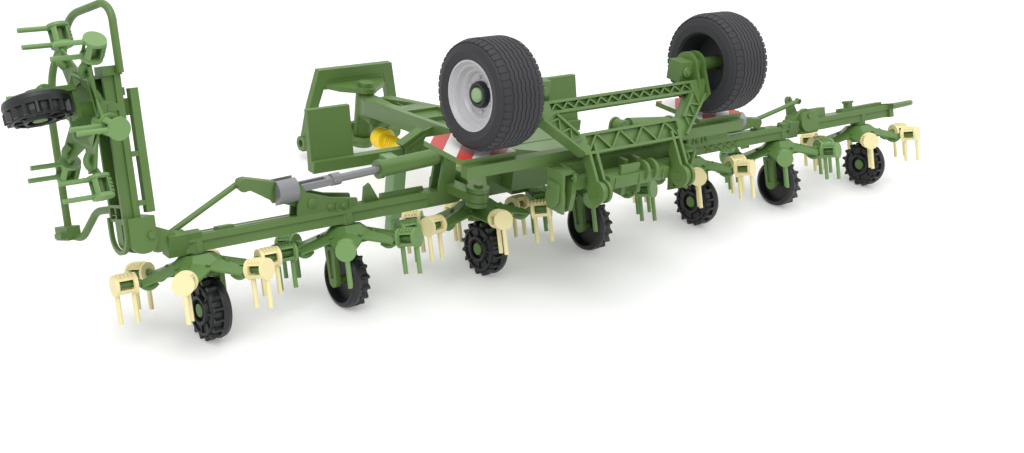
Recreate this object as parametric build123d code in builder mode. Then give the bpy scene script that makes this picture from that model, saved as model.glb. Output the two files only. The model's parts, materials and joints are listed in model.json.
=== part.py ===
from build123d import *
import os
from math import acos, atan2, cos, degrees, hypot, radians, sin

os.makedirs("parts", exist_ok=True)

# Driving dimensions, millimetres and degrees
# Machine axes while modelling: +X right, +Y forward, +Z up, floor at zero, middle plane at x = 0
play = 0.3

# Rotors
pitch = 69.0
rotor_tilt = 19.0
rotor_y = -2.0
rotor_z = 27.0
arm_count = 6
rotor_gap = 1.2
holder_length = 8.7
holder_radius = 4.2
holder_disc = 1.2
holder_shell = 3.8
holder_wall = 1.0
tine_diameter = 1.9
tine_length = 15.0
arm_tube = 3.0
hub_top = 6.9
hub_top_radius = 7.0
hub_rim = 0.2
hub_rim_radius = 15.5
hub_wall = 1.2
blade_root = 10.0
blade_tip = 23.5
blade_root_half = 7.6
blade_tip_half = 3.0

# Small wheels and their legs
wheel_radius = 12.4
lug_side = 2.0
leg_side = 6.9
lug_count = 16
lug_root = 10.7
spindle_radius = 3.0
axle_radius = 1.6
leg_width = 7.0
leg_foot_width = 5.8
leg_thick = 2.2

# Beams
beam_rear = -1.4
beam_front = 5.4
beam_bottom = 34.8
beam_top = 41.2
lean_rear = -4.3
lean_front = 9.7
lean_bottom = 7.8
lean_top = 14.5
tip_raise = 1.1
band_height = 2.6
bracket_foot = 38.6
web_inset = 0.8
beam_wall = 1.4
beam_roof = 2.0
neck_radius = 4.2

# Centre beam and wing pivots
centre_half = 42.5
centre_beam_top = 47.0
centre_beam_front = 9.0
pivot_x = 46.0
pivot_y = -15.0
pivot_eye = 5.0
pivot_pin = 2.0
eye_low = 40.8
eye_high = 44.7
clevis_plate = 2.0

# Wings and tips
wing_inner = 43.2
wing_block = 8.1
wing_block_top = 43.6
wing_end_gap = 7.2
hinge_past_rotor = 19.8
hinge_rise = 17.9
tip_start = 6.0
wing_channel_start = 63.0
right_tip_past_rotor = 24.2
left_tip_past_rotor = 12.3
left_tip_fold = 90.0
guard_wire = 1.5
guard_drop = 3.0
guard_back = 6.0
guard_tilt = 28.0
guard_bends = (10.0, 8.0, 5.0, 12.0, 20.0, 14.0, 7.0)

# Tip fold linkage, places in the wing's middle plane
link_y = 2.0
link_eye = 1.5
crank_inboard = 70.8
crank_z = 46.8
apex_along = 30.0
apex_up = 11.7
rod_eye_along = 9.0
rod_eye_up = 6.4
barrel_x = 52.0
barrel_z = 57.0
barrel_radius = 3.6
rod_radius = 1.7
collar_radius = 5.4
collar_length = 9.0
collar_before = 1.9
link_radius = 1.2
link_front = 4.9

# Transport chassis
chassis_foot_y = -59.4
chassis_foot_z = 73.4
chassis_slope = 57.7
chassis_leg = 15.8
chassis_depth = 4.8
chassis_low_bar = 9.1
chassis_low_half = 26.6
chassis_ribs = 8
chassis_arm_x = 24.5
big_wheel_y = -40.7
big_wheel_z = 99.2
big_wheel_inner = 54.6
big_wheel_width = 22.5
big_wheel_radius = 22.3
big_wheel_dish = 7.9
rim_radius = 14.5

# Centre frame, carriers and warning boards
side_plate_x = 31.5
side_plate = 2.4
deck_front_y = 6.0
deck_front_z = 57.0
deck_rear_y = -47.0
deck_rear_z = 67.0
carrier_low = 67.7
carrier_high = 72.7
carrier_end = 81.0
board_top = 75.0
board_inner = 54.0
board_outer = 82.0
board_front_y = -18.0
board_rear_y = -46.5

# Drawbar, front boards, stand, drive shaft, headstock
swivel_y = 142.0
swivel_low = 8.0
swivel_high = 41.0
post_radius = 5.0
drawbar_front_half = 8.0
drawbar_rear_half = 21.0
drawbar_height = 9.0
drawbar_front_top = 38.5
front_bar_y = 60.0
front_bar_low = 32.0
front_bar_high = 37.5
front_board_y = 68.0
front_board_inner = 59.0
front_board_outer = 82.0
front_board_top = 60.0
stand_x = -43.0
stand_y = 50.0
gearbox_front = 14.0
shaft_radius = 2.6
headstock_y = 154.0
headstock_top = 49.0
headstock_low = 5.0
pin_z = 9.0
bore_radius = 2.0
boss_radius = 4.0
boss_length = 7.0
boss_inset = 3.4
headstock_top_half = 23.0
headstock_low_half = 31.0

# Places that follow from the driving dimensions
rotor_reach = (pitch - rotor_gap) / 2
hinge_x = 2.5 * pitch + hinge_past_rotor
wing_outer = hinge_x - wing_end_gap
wing_block_inner = wing_outer - wing_block
tip_rotor_x = 3.5 * pitch
crank_x = hinge_x - crank_inboard
apex_x = crank_x + apex_along
apex_z = crank_z + apex_up
rod_eye_x = crank_x + rod_eye_along
rod_eye_z = crank_z + rod_eye_up
tilt = radians(rotor_tilt)
side_names = ((1, "right"), (-1, "left"))
to_hitch = Location((0, -headstock_y, -pin_z))
wheel_y = rotor_y - (rotor_z - wheel_radius) * sin(tilt) / cos(tilt)
hinge_y = rotor_y + hinge_rise * sin(tilt)
hinge_z = rotor_z + hinge_rise * cos(tilt)
hinge_line = Axis((-hinge_x, hinge_y, hinge_z), (0, cos(tilt), -sin(tilt)))
spindle_drop = (wheel_y - rotor_y) * sin(tilt) + (wheel_radius - rotor_z) * cos(tilt)


def rotor_place(x):
    """Location of a rotor's own frame, its Z along the leaning spindle."""
    return Location(Plane(origin=(x, rotor_y, rotor_z), x_dir=(1, 0, 0), z_dir=(0, sin(tilt), cos(tilt))))


def leaning_plane(along):
    """Plane square to the tip's hinge line, sketched in the right wing's X and the leaning height."""
    return Plane(origin=(0, hinge_y + along * cos(tilt), hinge_z - along * sin(tilt)), x_dir=(1, 0, 0),
                 z_dir=(0, -cos(tilt), sin(tilt)))


def section_plane(x):
    """Plane across X in the rotors' leaning frame: its X runs forward, its Y up along the spindles."""
    return Plane(origin=(x, rotor_y, rotor_z), x_dir=(0, cos(tilt), -sin(tilt)), z_dir=(1, 0, 0))


def save(part, label):
    """Move a finished piece to the hitch's frame and write it."""
    placed = part.moved(to_hitch)
    placed.label = label
    export_step(placed, f"parts/{label}.step")


def fold_left_tip(part):
    """The left tip stands folded up at rest."""
    return part.rotate(hinge_line, left_tip_fold)


def mirrored(part, side):
    """The right-hand piece itself, or its mirror image for the left."""
    return part if side > 0 else part.mirror(Plane.YZ)


# One rotor arm, pointing to -Y in the rotor's frame
holder_inner = rotor_reach - holder_length
blade_slope = (hub_top - hub_rim) / (hub_rim_radius - hub_top_radius)
root_ridge = hub_top - blade_slope * (blade_root - hub_top_radius)
with BuildPart() as arm:
    with BuildSketch(Plane(origin=(0, -blade_root, root_ridge), x_dir=(1, 0, 0), z_dir=(0, -1, 0))):
        with BuildLine():
            Polyline((-blade_root_half, -3.0), (blade_root_half, -3.0), (blade_root_half, -2.3), (0, 0),
                     (-blade_root_half, -2.3), close=True)
        make_face()
    with BuildSketch(Plane(origin=(0, -blade_tip, 0.3), x_dir=(1, 0, 0), z_dir=(0, -1, 0))):
        with BuildLine():
            Polyline((-blade_tip_half, -2.4), (blade_tip_half, -2.4), (blade_tip_half, -1.5), (0, 0),
                     (-blade_tip_half, -1.5), close=True)
        make_face()
    loft()
    with BuildLine(Plane.YZ) as tube_line:
        FilletPolyline((-17.0, -1.2), (-20.2, -3.4), (-holder_inner + 1.4, 0), (-rotor_reach + holder_disc, 0), radius=3.0)
    with BuildSketch(Plane(tube_line.line @ 0, z_dir=tube_line.line % 0)):
        Circle(arm_tube / 2)
    sweep()

# Hub cover with its six arms
with BuildPart() as rotor_arms:
    with BuildSketch(Plane.XY.offset(hub_rim)):
        RegularPolygon(hub_rim_radius, arm_count, rotation=30)
    with BuildSketch(Plane.XY.offset(hub_top)):
        RegularPolygon(hub_top_radius, arm_count, rotation=30)
    loft()
    with BuildSketch(Plane.XY.offset(hub_rim)):
        RegularPolygon(hub_rim_radius - 1.4, arm_count, rotation=30)
    with BuildSketch(Plane.XY.offset(hub_top - hub_wall)):
        RegularPolygon(hub_top_radius - 1.0, arm_count, rotation=30)
    loft(mode=Mode.SUBTRACT)
    with PolarLocations(0, arm_count):
        add(arm.part)
    with Locations((0, 0, hub_top)):
        Hole(spindle_radius + 0.15)

# One tine holder: closed outer disc, windowed shell, inner ring and two tines
with BuildPart() as holder:
    with BuildSketch(Plane.YZ):
        with BuildLine():
            Polyline((-rotor_reach, 0), (-rotor_reach, holder_radius),
                     (-rotor_reach + holder_disc, holder_radius), (-rotor_reach + holder_disc, holder_shell),
                     (-holder_inner - holder_disc, holder_shell), (-holder_inner - holder_disc, holder_radius),
                     (-holder_inner, holder_radius), (-holder_inner, arm_tube / 2 + 0.15),
                     (-holder_inner - holder_disc, arm_tube / 2 + 0.15),
                     (-holder_inner - holder_disc, holder_shell - holder_wall),
                     (-rotor_reach + holder_disc, holder_shell - holder_wall), (-rotor_reach + holder_disc, 0),
                     close=True)
        make_face()
    revolve(axis=Axis.Y)
    window = holder_length - 2 * holder_disc - 0.8
    middle = (0, -rotor_reach + holder_length / 2, 0)
    with Locations(middle):
        Box(2 * holder_radius + 1, window, 3.6, mode=Mode.SUBTRACT)
    with Locations(Location((0, middle[1], -holder_radius / 2 - 1))):
        Box(3.4, window, holder_radius, mode=Mode.SUBTRACT)
    for reach in (rotor_reach - tine_diameter / 2 - 0.1, holder_inner + tine_diameter / 2 + 0.1):
        with Locations((0, -reach, -tine_length)):
            Cylinder(tine_diameter / 2, tine_length - holder_radius + 0.8,
                     align=(Align.CENTER, Align.CENTER, Align.MIN))

# Small wheel about its own X axis, lugs on the -X half
with BuildPart() as small_wheel:
    with BuildSketch(Plane.XY):
        with BuildLine():
            Polyline((-lug_side, 4.4), (-lug_side, 5.9), (-0.9, 6.3), (-0.9, 9.4), (-1.4, 10.4), (0.2, 10.9),
                     (2.6, 10.9), (2.6, 12.0), (4.6, wheel_radius), (6.2, 11.9), (leg_side, 10.6),
                     (leg_side, 9.9), (3.4, 9.2), (3.4, axle_radius + 0.15), (-0.6, axle_radius + 0.15),
                     (-0.6, 4.4), close=True)
        make_face()
    revolve(axis=Axis.X)
    with BuildSketch(Plane.YZ.offset(-1.2)):
        with PolarLocations(lug_root, lug_count):
            Polygon((0, -1.1), (wheel_radius - lug_root, -0.6), (wheel_radius - lug_root, 0.2), (0, 1.3), align=None)
    extrude(amount=3.9)

# Leg, axle and leaning spindle of one small wheel, wheel's lug side towards -X
leg_x = leg_side + play
with BuildPart() as leg:
    with BuildSketch(Plane.YZ.offset(leg_x)):
        with BuildLine():
            foot = leg_foot_width / 2
            Line((-leg_width / 2, -0.8), (leg_width / 2, -0.8))
            Line((leg_width / 2, -0.8), (foot, spindle_drop))
            ThreePointArc((foot, spindle_drop), (0, spindle_drop - foot), (-foot, spindle_drop))
            Line((-foot, spindle_drop), (-leg_width / 2, -0.8))
        make_face()
    extrude(amount=leg_thick)
    with BuildSketch(Plane.YZ.offset(leg_x + leg_thick)):
        with Locations((0, spindle_drop / 2 - 0.6)):
            Rectangle(leg_foot_width - 3.2, -spindle_drop - 3.4)
    extrude(amount=-0.7, mode=Mode.SUBTRACT)
    with BuildSketch(Plane.XY.offset(-2.5)):
        with Locations(((leg_x + leg_thick - spindle_radius) / 2, 0)):
            Rectangle(leg_x + leg_thick + spindle_radius, 6.0)
    extrude(amount=1.7)
    with Locations((0, 0, -2.5)):
        Cylinder(spindle_radius, 11.3, align=(Align.CENTER, Align.CENTER, Align.MIN))
    with BuildSketch(Plane.YZ.offset(leg_x)):
        with Locations((0, spindle_drop)):
            Circle(axle_radius)
    extrude(amount=-(leg_x + lug_side))
    with BuildSketch(Plane.YZ.offset(-lug_side)):
        with Locations((0, spindle_drop)):
            Circle(2.7)
    extrude(amount=1.1)

# Rotors, tine sets, wheels and legs at their places
# columns: letter, place in pitches from the middle, arm angle, wheel's lug side, castor angle, legs group
rotor_table = (
    ("a", -2.5, -35.8, -1, 0, "left_wing"),
    ("b", -1.5, -33.3, 1, 0, "left_wing"),
    ("c", -0.5, -17.4, -1, 0, "centre"),
    ("d", 0.5, -40.1, 1, 0, "centre"),
    ("e", 1.5, -39.2, -1, 0, "right_wing"),
    ("f", 2.5, -44.3, 1, 0, "right_wing"),
    ("g", 3.5, -41.5, -1, 0, "right_tip"),
    ("h", -3.5, 12.7, 1, -15.0, "left_tip"),
)
leg_groups = {}
for letter, places, arm_angle, lug_direction, castor, group in rotor_table:
    centre_x = places * pitch
    turned = rotor_place(centre_x) * Location((0, 0, 0), (0, 0, arm_angle))
    arms_here = rotor_arms.part.moved(turned)
    tines_here = Compound([holder.part.moved(turned * Location((0, 0, 0), (0, 0, 360 / arm_count * i)))
                           for i in range(arm_count)])
    facing = Location((0, 0, 0), (0, 0, 0 if lug_direction < 0 else 180))
    spindle = Axis((centre_x, rotor_y, rotor_z), (0, sin(tilt), cos(tilt)))
    wheel_here = small_wheel.part.moved(Location((centre_x, wheel_y, wheel_radius)) * facing)
    wheel_here = wheel_here.rotate(spindle, castor)
    leg_here = leg.part.moved(rotor_place(centre_x) * Location((0, 0, 0), (0, 0, castor)) * facing)
    if group == "left_tip":
        arms_here = fold_left_tip(arms_here)
        tines_here = fold_left_tip(tines_here)
        wheel_here = fold_left_tip(wheel_here)
        leg_here = fold_left_tip(leg_here)
    save(arms_here, f"rotor_arms_{letter}")
    save(tines_here, f"tines_{letter}")
    save(wheel_here, f"small_wheel_{letter}")
    leg_groups.setdefault(group, []).append(leg_here)
for group, legs in leg_groups.items():
    save(Compound(legs) if len(legs) > 1 else legs[0], f"{group}_legs")


def channel(rear, front, bottom, top):
    """Outline of a hollow beam across X: a roof with bands at its edges and two walls, open below."""
    return ((rear + web_inset, bottom), (rear + web_inset, top - band_height), (rear, top - band_height), (rear, top),
            (front, top), (front, top - band_height), (front - web_inset, top - band_height),
            (front - web_inset, bottom), (front - web_inset - beam_wall, bottom),
            (front - web_inset - beam_wall, top - beam_roof), (rear + web_inset + beam_wall, top - beam_roof),
            (rear + web_inset + beam_wall, bottom))


beam_profile = channel(lean_rear, lean_front, lean_bottom, lean_top)
tip_profile = channel(lean_rear, lean_front, lean_bottom + tip_raise, lean_top + tip_raise)

# Wing linkage places in the X-Z plane, taken for the right wing
link_fold_x, link_fold_z = hinge_x - 9.0, hinge_z - 3.0
link_work_x, link_work_z = hinge_x - 3.0, hinge_z + 9.0 * cos(tilt)
link_length = hypot(link_fold_x - apex_x, link_fold_z - apex_z)
crank_length = hypot(apex_x - crank_x, apex_z - crank_z)
crank_fold_angle = degrees(atan2(apex_z - crank_z, apex_x - crank_x))
reach_work = hypot(link_work_x - crank_x, link_work_z - crank_z)
bend = degrees(acos((crank_length**2 + reach_work**2 - link_length**2) / (2 * crank_length * reach_work)))
crank_work_angle = degrees(atan2(link_work_z - crank_z, link_work_x - crank_x)) - bend
crank_turn = crank_work_angle - crank_fold_angle
apex_work_x = crank_x + crank_length * cos(radians(crank_work_angle))
apex_work_z = crank_z + crank_length * sin(radians(crank_work_angle))
link_fold_angle = degrees(atan2(link_fold_z - apex_z, link_fold_x - apex_x))
link_work_angle = degrees(atan2(link_work_z - apex_work_z, link_work_x - apex_work_x))
eye_arm = hypot(rod_eye_x - crank_x, rod_eye_z - crank_z)
eye_fold_angle = degrees(atan2(rod_eye_z - crank_z, rod_eye_x - crank_x))
eye_work_x = crank_x + eye_arm * cos(radians(eye_fold_angle + crank_turn))
eye_work_z = crank_z + eye_arm * sin(radians(eye_fold_angle + crank_turn))
rod_fold_length = hypot(rod_eye_x - barrel_x, rod_eye_z - barrel_z)
rod_work_length = hypot(eye_work_x - barrel_x, eye_work_z - barrel_z)
rod_fold_angle = degrees(atan2(rod_eye_z - barrel_z, rod_eye_x - barrel_x))
rod_work_angle = degrees(atan2(eye_work_z - barrel_z, eye_work_x - barrel_x))
print("crank turn", crank_turn, "link turn", link_work_angle - link_fold_angle,
      "rod stroke", rod_work_length - rod_fold_length, "barrel turn", rod_work_angle - rod_fold_angle)
print("apex work", apex_work_x, apex_work_z)

# Right wing beam, drawn from its pivot eye to the tip hinge
with BuildPart() as wing:
    with BuildSketch(section_plane(wing_channel_start)):
        with BuildLine():
            Polyline(*beam_profile, close=True)
        make_face()
    extrude(amount=wing_block_inner + 1.0 - wing_channel_start)
    with BuildSketch(Plane.XZ.offset(-beam_front)):
        with Locations((wing_inner + 3.2, (beam_bottom + beam_top) / 2)):
            Circle((beam_top - beam_bottom) / 2)
        with Locations(((wing_inner + 3.2 + wing_channel_start + 1.2) / 2, (beam_bottom + beam_top) / 2)):
            Rectangle(wing_channel_start + 1.2 - wing_inner - 3.2, beam_top - beam_bottom)
    extrude(amount=beam_front - beam_rear)
    with BuildSketch(Plane.XY.offset(eye_low)):
        with Locations((pivot_x, pivot_y)):
            Circle(pivot_eye)
        with BuildLine():
            Polyline((pivot_x - 2.0, pivot_y), (pivot_x + pivot_eye, pivot_y), (pivot_x + 8.0, beam_rear + 1),
                     (pivot_x + 0.6, beam_rear + 1), close=True)
        make_face()
        with Locations((pivot_x, pivot_y)):
            Circle(pivot_pin + 0.15, mode=Mode.SUBTRACT)
    extrude(amount=eye_high - eye_low)
    with BuildSketch(Plane.XY.offset(beam_top - 0.1)):
        with Locations((pivot_x + 4.3, (beam_rear + beam_front) / 2)):
            Rectangle(7.4, beam_front - beam_rear)
    extrude(amount=eye_high - beam_top + 0.1)
    for places in (1.5, 2.5):
        with Locations(rotor_place(places * pitch)):
            for face in (lean_rear + web_inset / 2, lean_front - web_inset / 2):
                with Locations((0, face, lean_bottom)):
                    Box(2.7, web_inset, lean_top - lean_bottom - band_height + 0.2,
                        align=(Align.CENTER, Align.CENTER, Align.MIN))
            with Locations((0, 0, hub_top + play)):
                Cylinder(neck_radius, 5.2, align=(Align.CENTER, Align.CENTER, Align.MIN))
                Cylinder(spindle_radius + 0.05, 3.6, align=(Align.CENTER, Align.CENTER, Align.MIN),
                         mode=Mode.SUBTRACT)
    # Bracket plates that carry the crank
    for face_y in (-0.4, beam_front):
        with BuildSketch(Plane.XZ.offset(-face_y)):
            with BuildLine():
                Polyline((crank_x + 6.4, bracket_foot), (crank_x + 6.4, 54.6), (crank_x + 5.4, 55.7),
                         (crank_x + 3.1, 51.9), (crank_x - 9.2, 47.7), (crank_x - 22.0, 45.5),
                         (crank_x - 23.5, bracket_foot), close=True)
            make_face()
            with Locations((crank_x, crank_z)):
                Circle(1.35, mode=Mode.SUBTRACT)
        extrude(amount=1.0)
    # Clevis plates that carry the barrel
    for face_y in (link_y - 2.2, link_y + 3.6):
        with BuildSketch(Plane.XZ.offset(-face_y)):
            with BuildLine():
                Polyline((barrel_x - 3.4, bracket_foot), (barrel_x - 3.4, barrel_z), (barrel_x + 3.4, barrel_z),
                         (barrel_x + 5.4, bracket_foot), close=True)
            make_face()
            with Locations((barrel_x, barrel_z)):
                Circle(3.4)
            with Locations((barrel_x, barrel_z)):
                Circle(1.35, mode=Mode.SUBTRACT)
        extrude(amount=1.4)
    # Triangular lug
    lug_at = crank_x - 28.0
    with BuildSketch(Plane.XZ.offset(-beam_front + 1.6)):
        with BuildLine():
            Polyline((lug_at - 9.5, bracket_foot), (lug_at, bracket_foot), (lug_at, 47.8), (lug_at - 2.5, 49.2), close=True)
        make_face()
    extrude(amount=1.6)
    # Outer end: block and the leaning eye for the tip
    with Locations(((wing_block_inner + wing_outer) / 2, (beam_rear - 0.8 + 3.2) / 2, (beam_bottom + wing_block_top) / 2)):
        Box(wing_outer - wing_block_inner, 3.2 - beam_rear + 0.8, wing_block_top - beam_bottom)
    with BuildSketch(leaning_plane(0.2)):
        with BuildLine():
            Polyline((wing_outer - 7.0, -7.4), (hinge_x - 2.8, -7.4), (hinge_x, -4.0), (hinge_x, 4.0),
                     (hinge_x - 2.8, 2.8), (wing_outer - 3.0, -0.4), close=True)
        make_face()
        with Locations((hinge_x, 0)):
            Circle(4.0)
        with Locations((hinge_x, 0)):
            Circle(1.65, mode=Mode.SUBTRACT)
    extrude(amount=4.1)
    # Relief in the eye's front where the link swings past
    with Locations((hinge_x - 3.0, link_front - link_radius - 0.4, hinge_z - 1.5)):
        Box(20.0, 8.0, 10.0, align=(Align.CENTER, Align.MIN, Align.MIN), mode=Mode.SUBTRACT)
    # Raised strip beside the block
    with Locations((wing_block_inner + 0.6, beam_rear + 1.4, beam_top - 1.2)):
        Box(13.0, 3.6, 3.4, align=(Align.CENTER, Align.CENTER, Align.MIN))
for side, word in side_names:
    save(mirrored(wing.part, side), f"{word}_wing")

# Crank of the tip fold: thin where the rod's fork straddles it, full width at the link's end
with BuildPart() as crank:
    with BuildSketch(Plane.XZ.offset(-link_y - 0.9)):
        with BuildLine():
            Polyline((crank_x - 2.6, crank_z + 1.5), (crank_x + 2.0, crank_z - 2.9), (crank_x + 16.5, crank_z + 2.4),
                     (apex_x - 2.5, apex_z - 2.6), (apex_x + 1.6, apex_z - 2.4), (apex_x + 0.5, apex_z + 2.6),
                     (apex_x - 1.5, apex_z + 2.5), (rod_eye_x + 2.5, rod_eye_z + 3.4), (rod_eye_x - 2.0, rod_eye_z + 2.6),
                     close=True)
        make_face()
        with Locations((crank_x, crank_z)):
            Circle(3.0)
        with Locations((apex_x, apex_z)):
            Circle(2.8)
        with Locations((rod_eye_x, rod_eye_z)):
            Circle(3.2)
        with Locations((rod_eye_x, rod_eye_z)):
            Circle(1.2, mode=Mode.SUBTRACT)
    extrude(amount=1.8)
    with BuildSketch(Plane.XZ.offset(-link_y - 1.6)):
        with BuildLine():
            Polyline((crank_x + 16.5, crank_z + 2.7), (apex_x - 2.5, apex_z - 2.6), (apex_x + 1.6, apex_z - 2.4),
                     (apex_x + 0.5, apex_z + 2.6), (apex_x - 1.5, apex_z + 2.5), (rod_eye_x + 5.0, rod_eye_z + 4.0),
                     close=True)
        make_face()
        with Locations((apex_x, apex_z)):
            Circle(2.8)
        with Locations((rod_eye_x, rod_eye_z)):
            Circle(9.0, mode=Mode.SUBTRACT)
    extrude(amount=3.2)
    with BuildSketch(Plane.XZ.offset(-link_y - 1.0)):
        with Locations((apex_x, apex_z)):
            Circle(0.8)
    extrude(amount=-(link_front + link_radius + 0.4 - link_y - 1.0))
    with BuildSketch(Plane.XZ.offset(-beam_front - 0.4)):
        with Locations((crank_x, crank_z)):
            Circle(1.25)
    extrude(amount=beam_front - beam_rear + 0.8)


def rod_plane(x, z, angle, front):
    """Plane of the linkage with its sketch X along a rod that points from (x, z) at the angle."""
    turned_x = (cos(radians(angle)), 0, sin(radians(angle)))
    return Plane(origin=(x, front, z), x_dir=turned_x, z_dir=(0, -1, 0))


# Link rod from the crank's apex to the tip's lug
with BuildPart() as link:
    with BuildSketch(rod_plane(apex_x, apex_z, link_fold_angle, link_front + link_radius)):
        with Locations((0, 0), (link_length, 0)):
            Circle(link_eye)
        with Locations((0, 0), (link_length, 0)):
            Circle(0.95, mode=Mode.SUBTRACT)
    extrude(amount=2 * link_radius)
    rod_along = Plane(origin=(apex_x, link_front, apex_z), x_dir=(0, 1, 0),
                      z_dir=(cos(radians(link_fold_angle)), 0, sin(radians(link_fold_angle))))
    with BuildSketch(rod_along.offset(1.2)):
        Circle(link_radius)
    extrude(amount=link_length - 2.4)

# Barrel, its eye on the wing's clevis
barrel_end = 36.0
barrel_start = 6.0
rod_from_barrel = Plane(origin=(barrel_x, link_y, barrel_z), x_dir=(0, 1, 0),
                        z_dir=(cos(radians(rod_fold_angle)), 0, sin(radians(rod_fold_angle))))
with BuildPart() as barrel:
    with BuildSketch(rod_plane(barrel_x, barrel_z, rod_fold_angle, link_y + 1.8)):
        Circle(3.1)
        with Locations((3.5, 0)):
            Rectangle(7.0, 4.6)
        Circle(1.45, mode=Mode.SUBTRACT)
    extrude(amount=3.6)
    with BuildSketch(rod_from_barrel.offset(barrel_start)):
        Circle(barrel_radius)
    extrude(amount=barrel_end - barrel_start)
    with BuildSketch(rod_from_barrel.offset(barrel_end - 2.0)):
        Circle(barrel_radius + 0.5)
    extrude(amount=2.0)
    with BuildSketch(rod_from_barrel.offset(barrel_end)):
        Circle(rod_radius + 0.15)
    extrude(amount=-(barrel_end - barrel_start - 6.0), mode=Mode.SUBTRACT)

# Piston rod with its collar and fork
with BuildPart() as piston:
    with BuildSketch(rod_from_barrel.offset(barrel_start + 10.0)):
        Circle(rod_radius)
    extrude(amount=crank_x - 8.0 - barrel_x - barrel_start - 10.0)
    with BuildSketch(rod_from_barrel.offset(crank_x - 14.5 - barrel_x)):
        Circle(2.6)
    extrude(amount=4.0)
    prong_start = crank_x - 11.5 - barrel_x
    with BuildSketch(rod_plane(barrel_x, barrel_z, rod_fold_angle, link_y + 2.2)):
        with Locations(((prong_start + rod_fold_length) / 2, 0)):
            Rectangle(rod_fold_length - prong_start, 3.0)
        with Locations((rod_fold_length, 0)):
            Circle(4.3)
        with Locations((rod_fold_length, 0)):
            Circle(1.2, mode=Mode.SUBTRACT)
    extrude(amount=4.4)
    # Wide collar around the rod's eye
    with BuildSketch(rod_from_barrel.offset(rod_fold_length - collar_before)):
        Circle(collar_radius)
    extrude(amount=collar_length)
    with BuildSketch(rod_plane(barrel_x, barrel_z, rod_fold_angle, link_y + 1.2)):
        with Locations(((prong_start + 4.0 + rod_fold_length + 8.0) / 2, 0)):
            Rectangle(rod_fold_length + 8.0 - prong_start - 4.0, 12.0)
    extrude(amount=2.4, mode=Mode.SUBTRACT)

# The left linkage stands as drawn, folded; the right one takes its working place
crank_swing = Axis((crank_x, 0, crank_z), (0, -1, 0))
apex_swing = Axis((apex_work_x, 0, apex_work_z), (0, -1, 0))
barrel_swing = Axis((barrel_x, 0, barrel_z), (0, -1, 0))
barrel_turn = rod_work_angle - rod_fold_angle
rod_stroke = rod_work_length - rod_fold_length
out_along = (cos(radians(rod_fold_angle)) * rod_stroke, 0, sin(radians(rod_fold_angle)) * rod_stroke)
save(crank.part.mirror(Plane.YZ), "left_fold_crank")
save(link.part.mirror(Plane.YZ), "left_fold_link")
save(barrel.part.mirror(Plane.YZ), "left_barrel")
save(piston.part.mirror(Plane.YZ), "left_piston")
save(crank.part.rotate(crank_swing, crank_turn), "right_fold_crank")
save(link.part.moved(Location((apex_work_x - apex_x, 0, apex_work_z - apex_z)))
     .rotate(apex_swing, link_work_angle - link_fold_angle), "right_fold_link")
save(barrel.part.rotate(barrel_swing, barrel_turn), "right_barrel")
save(piston.part.moved(Location(out_along)).rotate(barrel_swing, barrel_turn), "right_piston")

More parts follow.
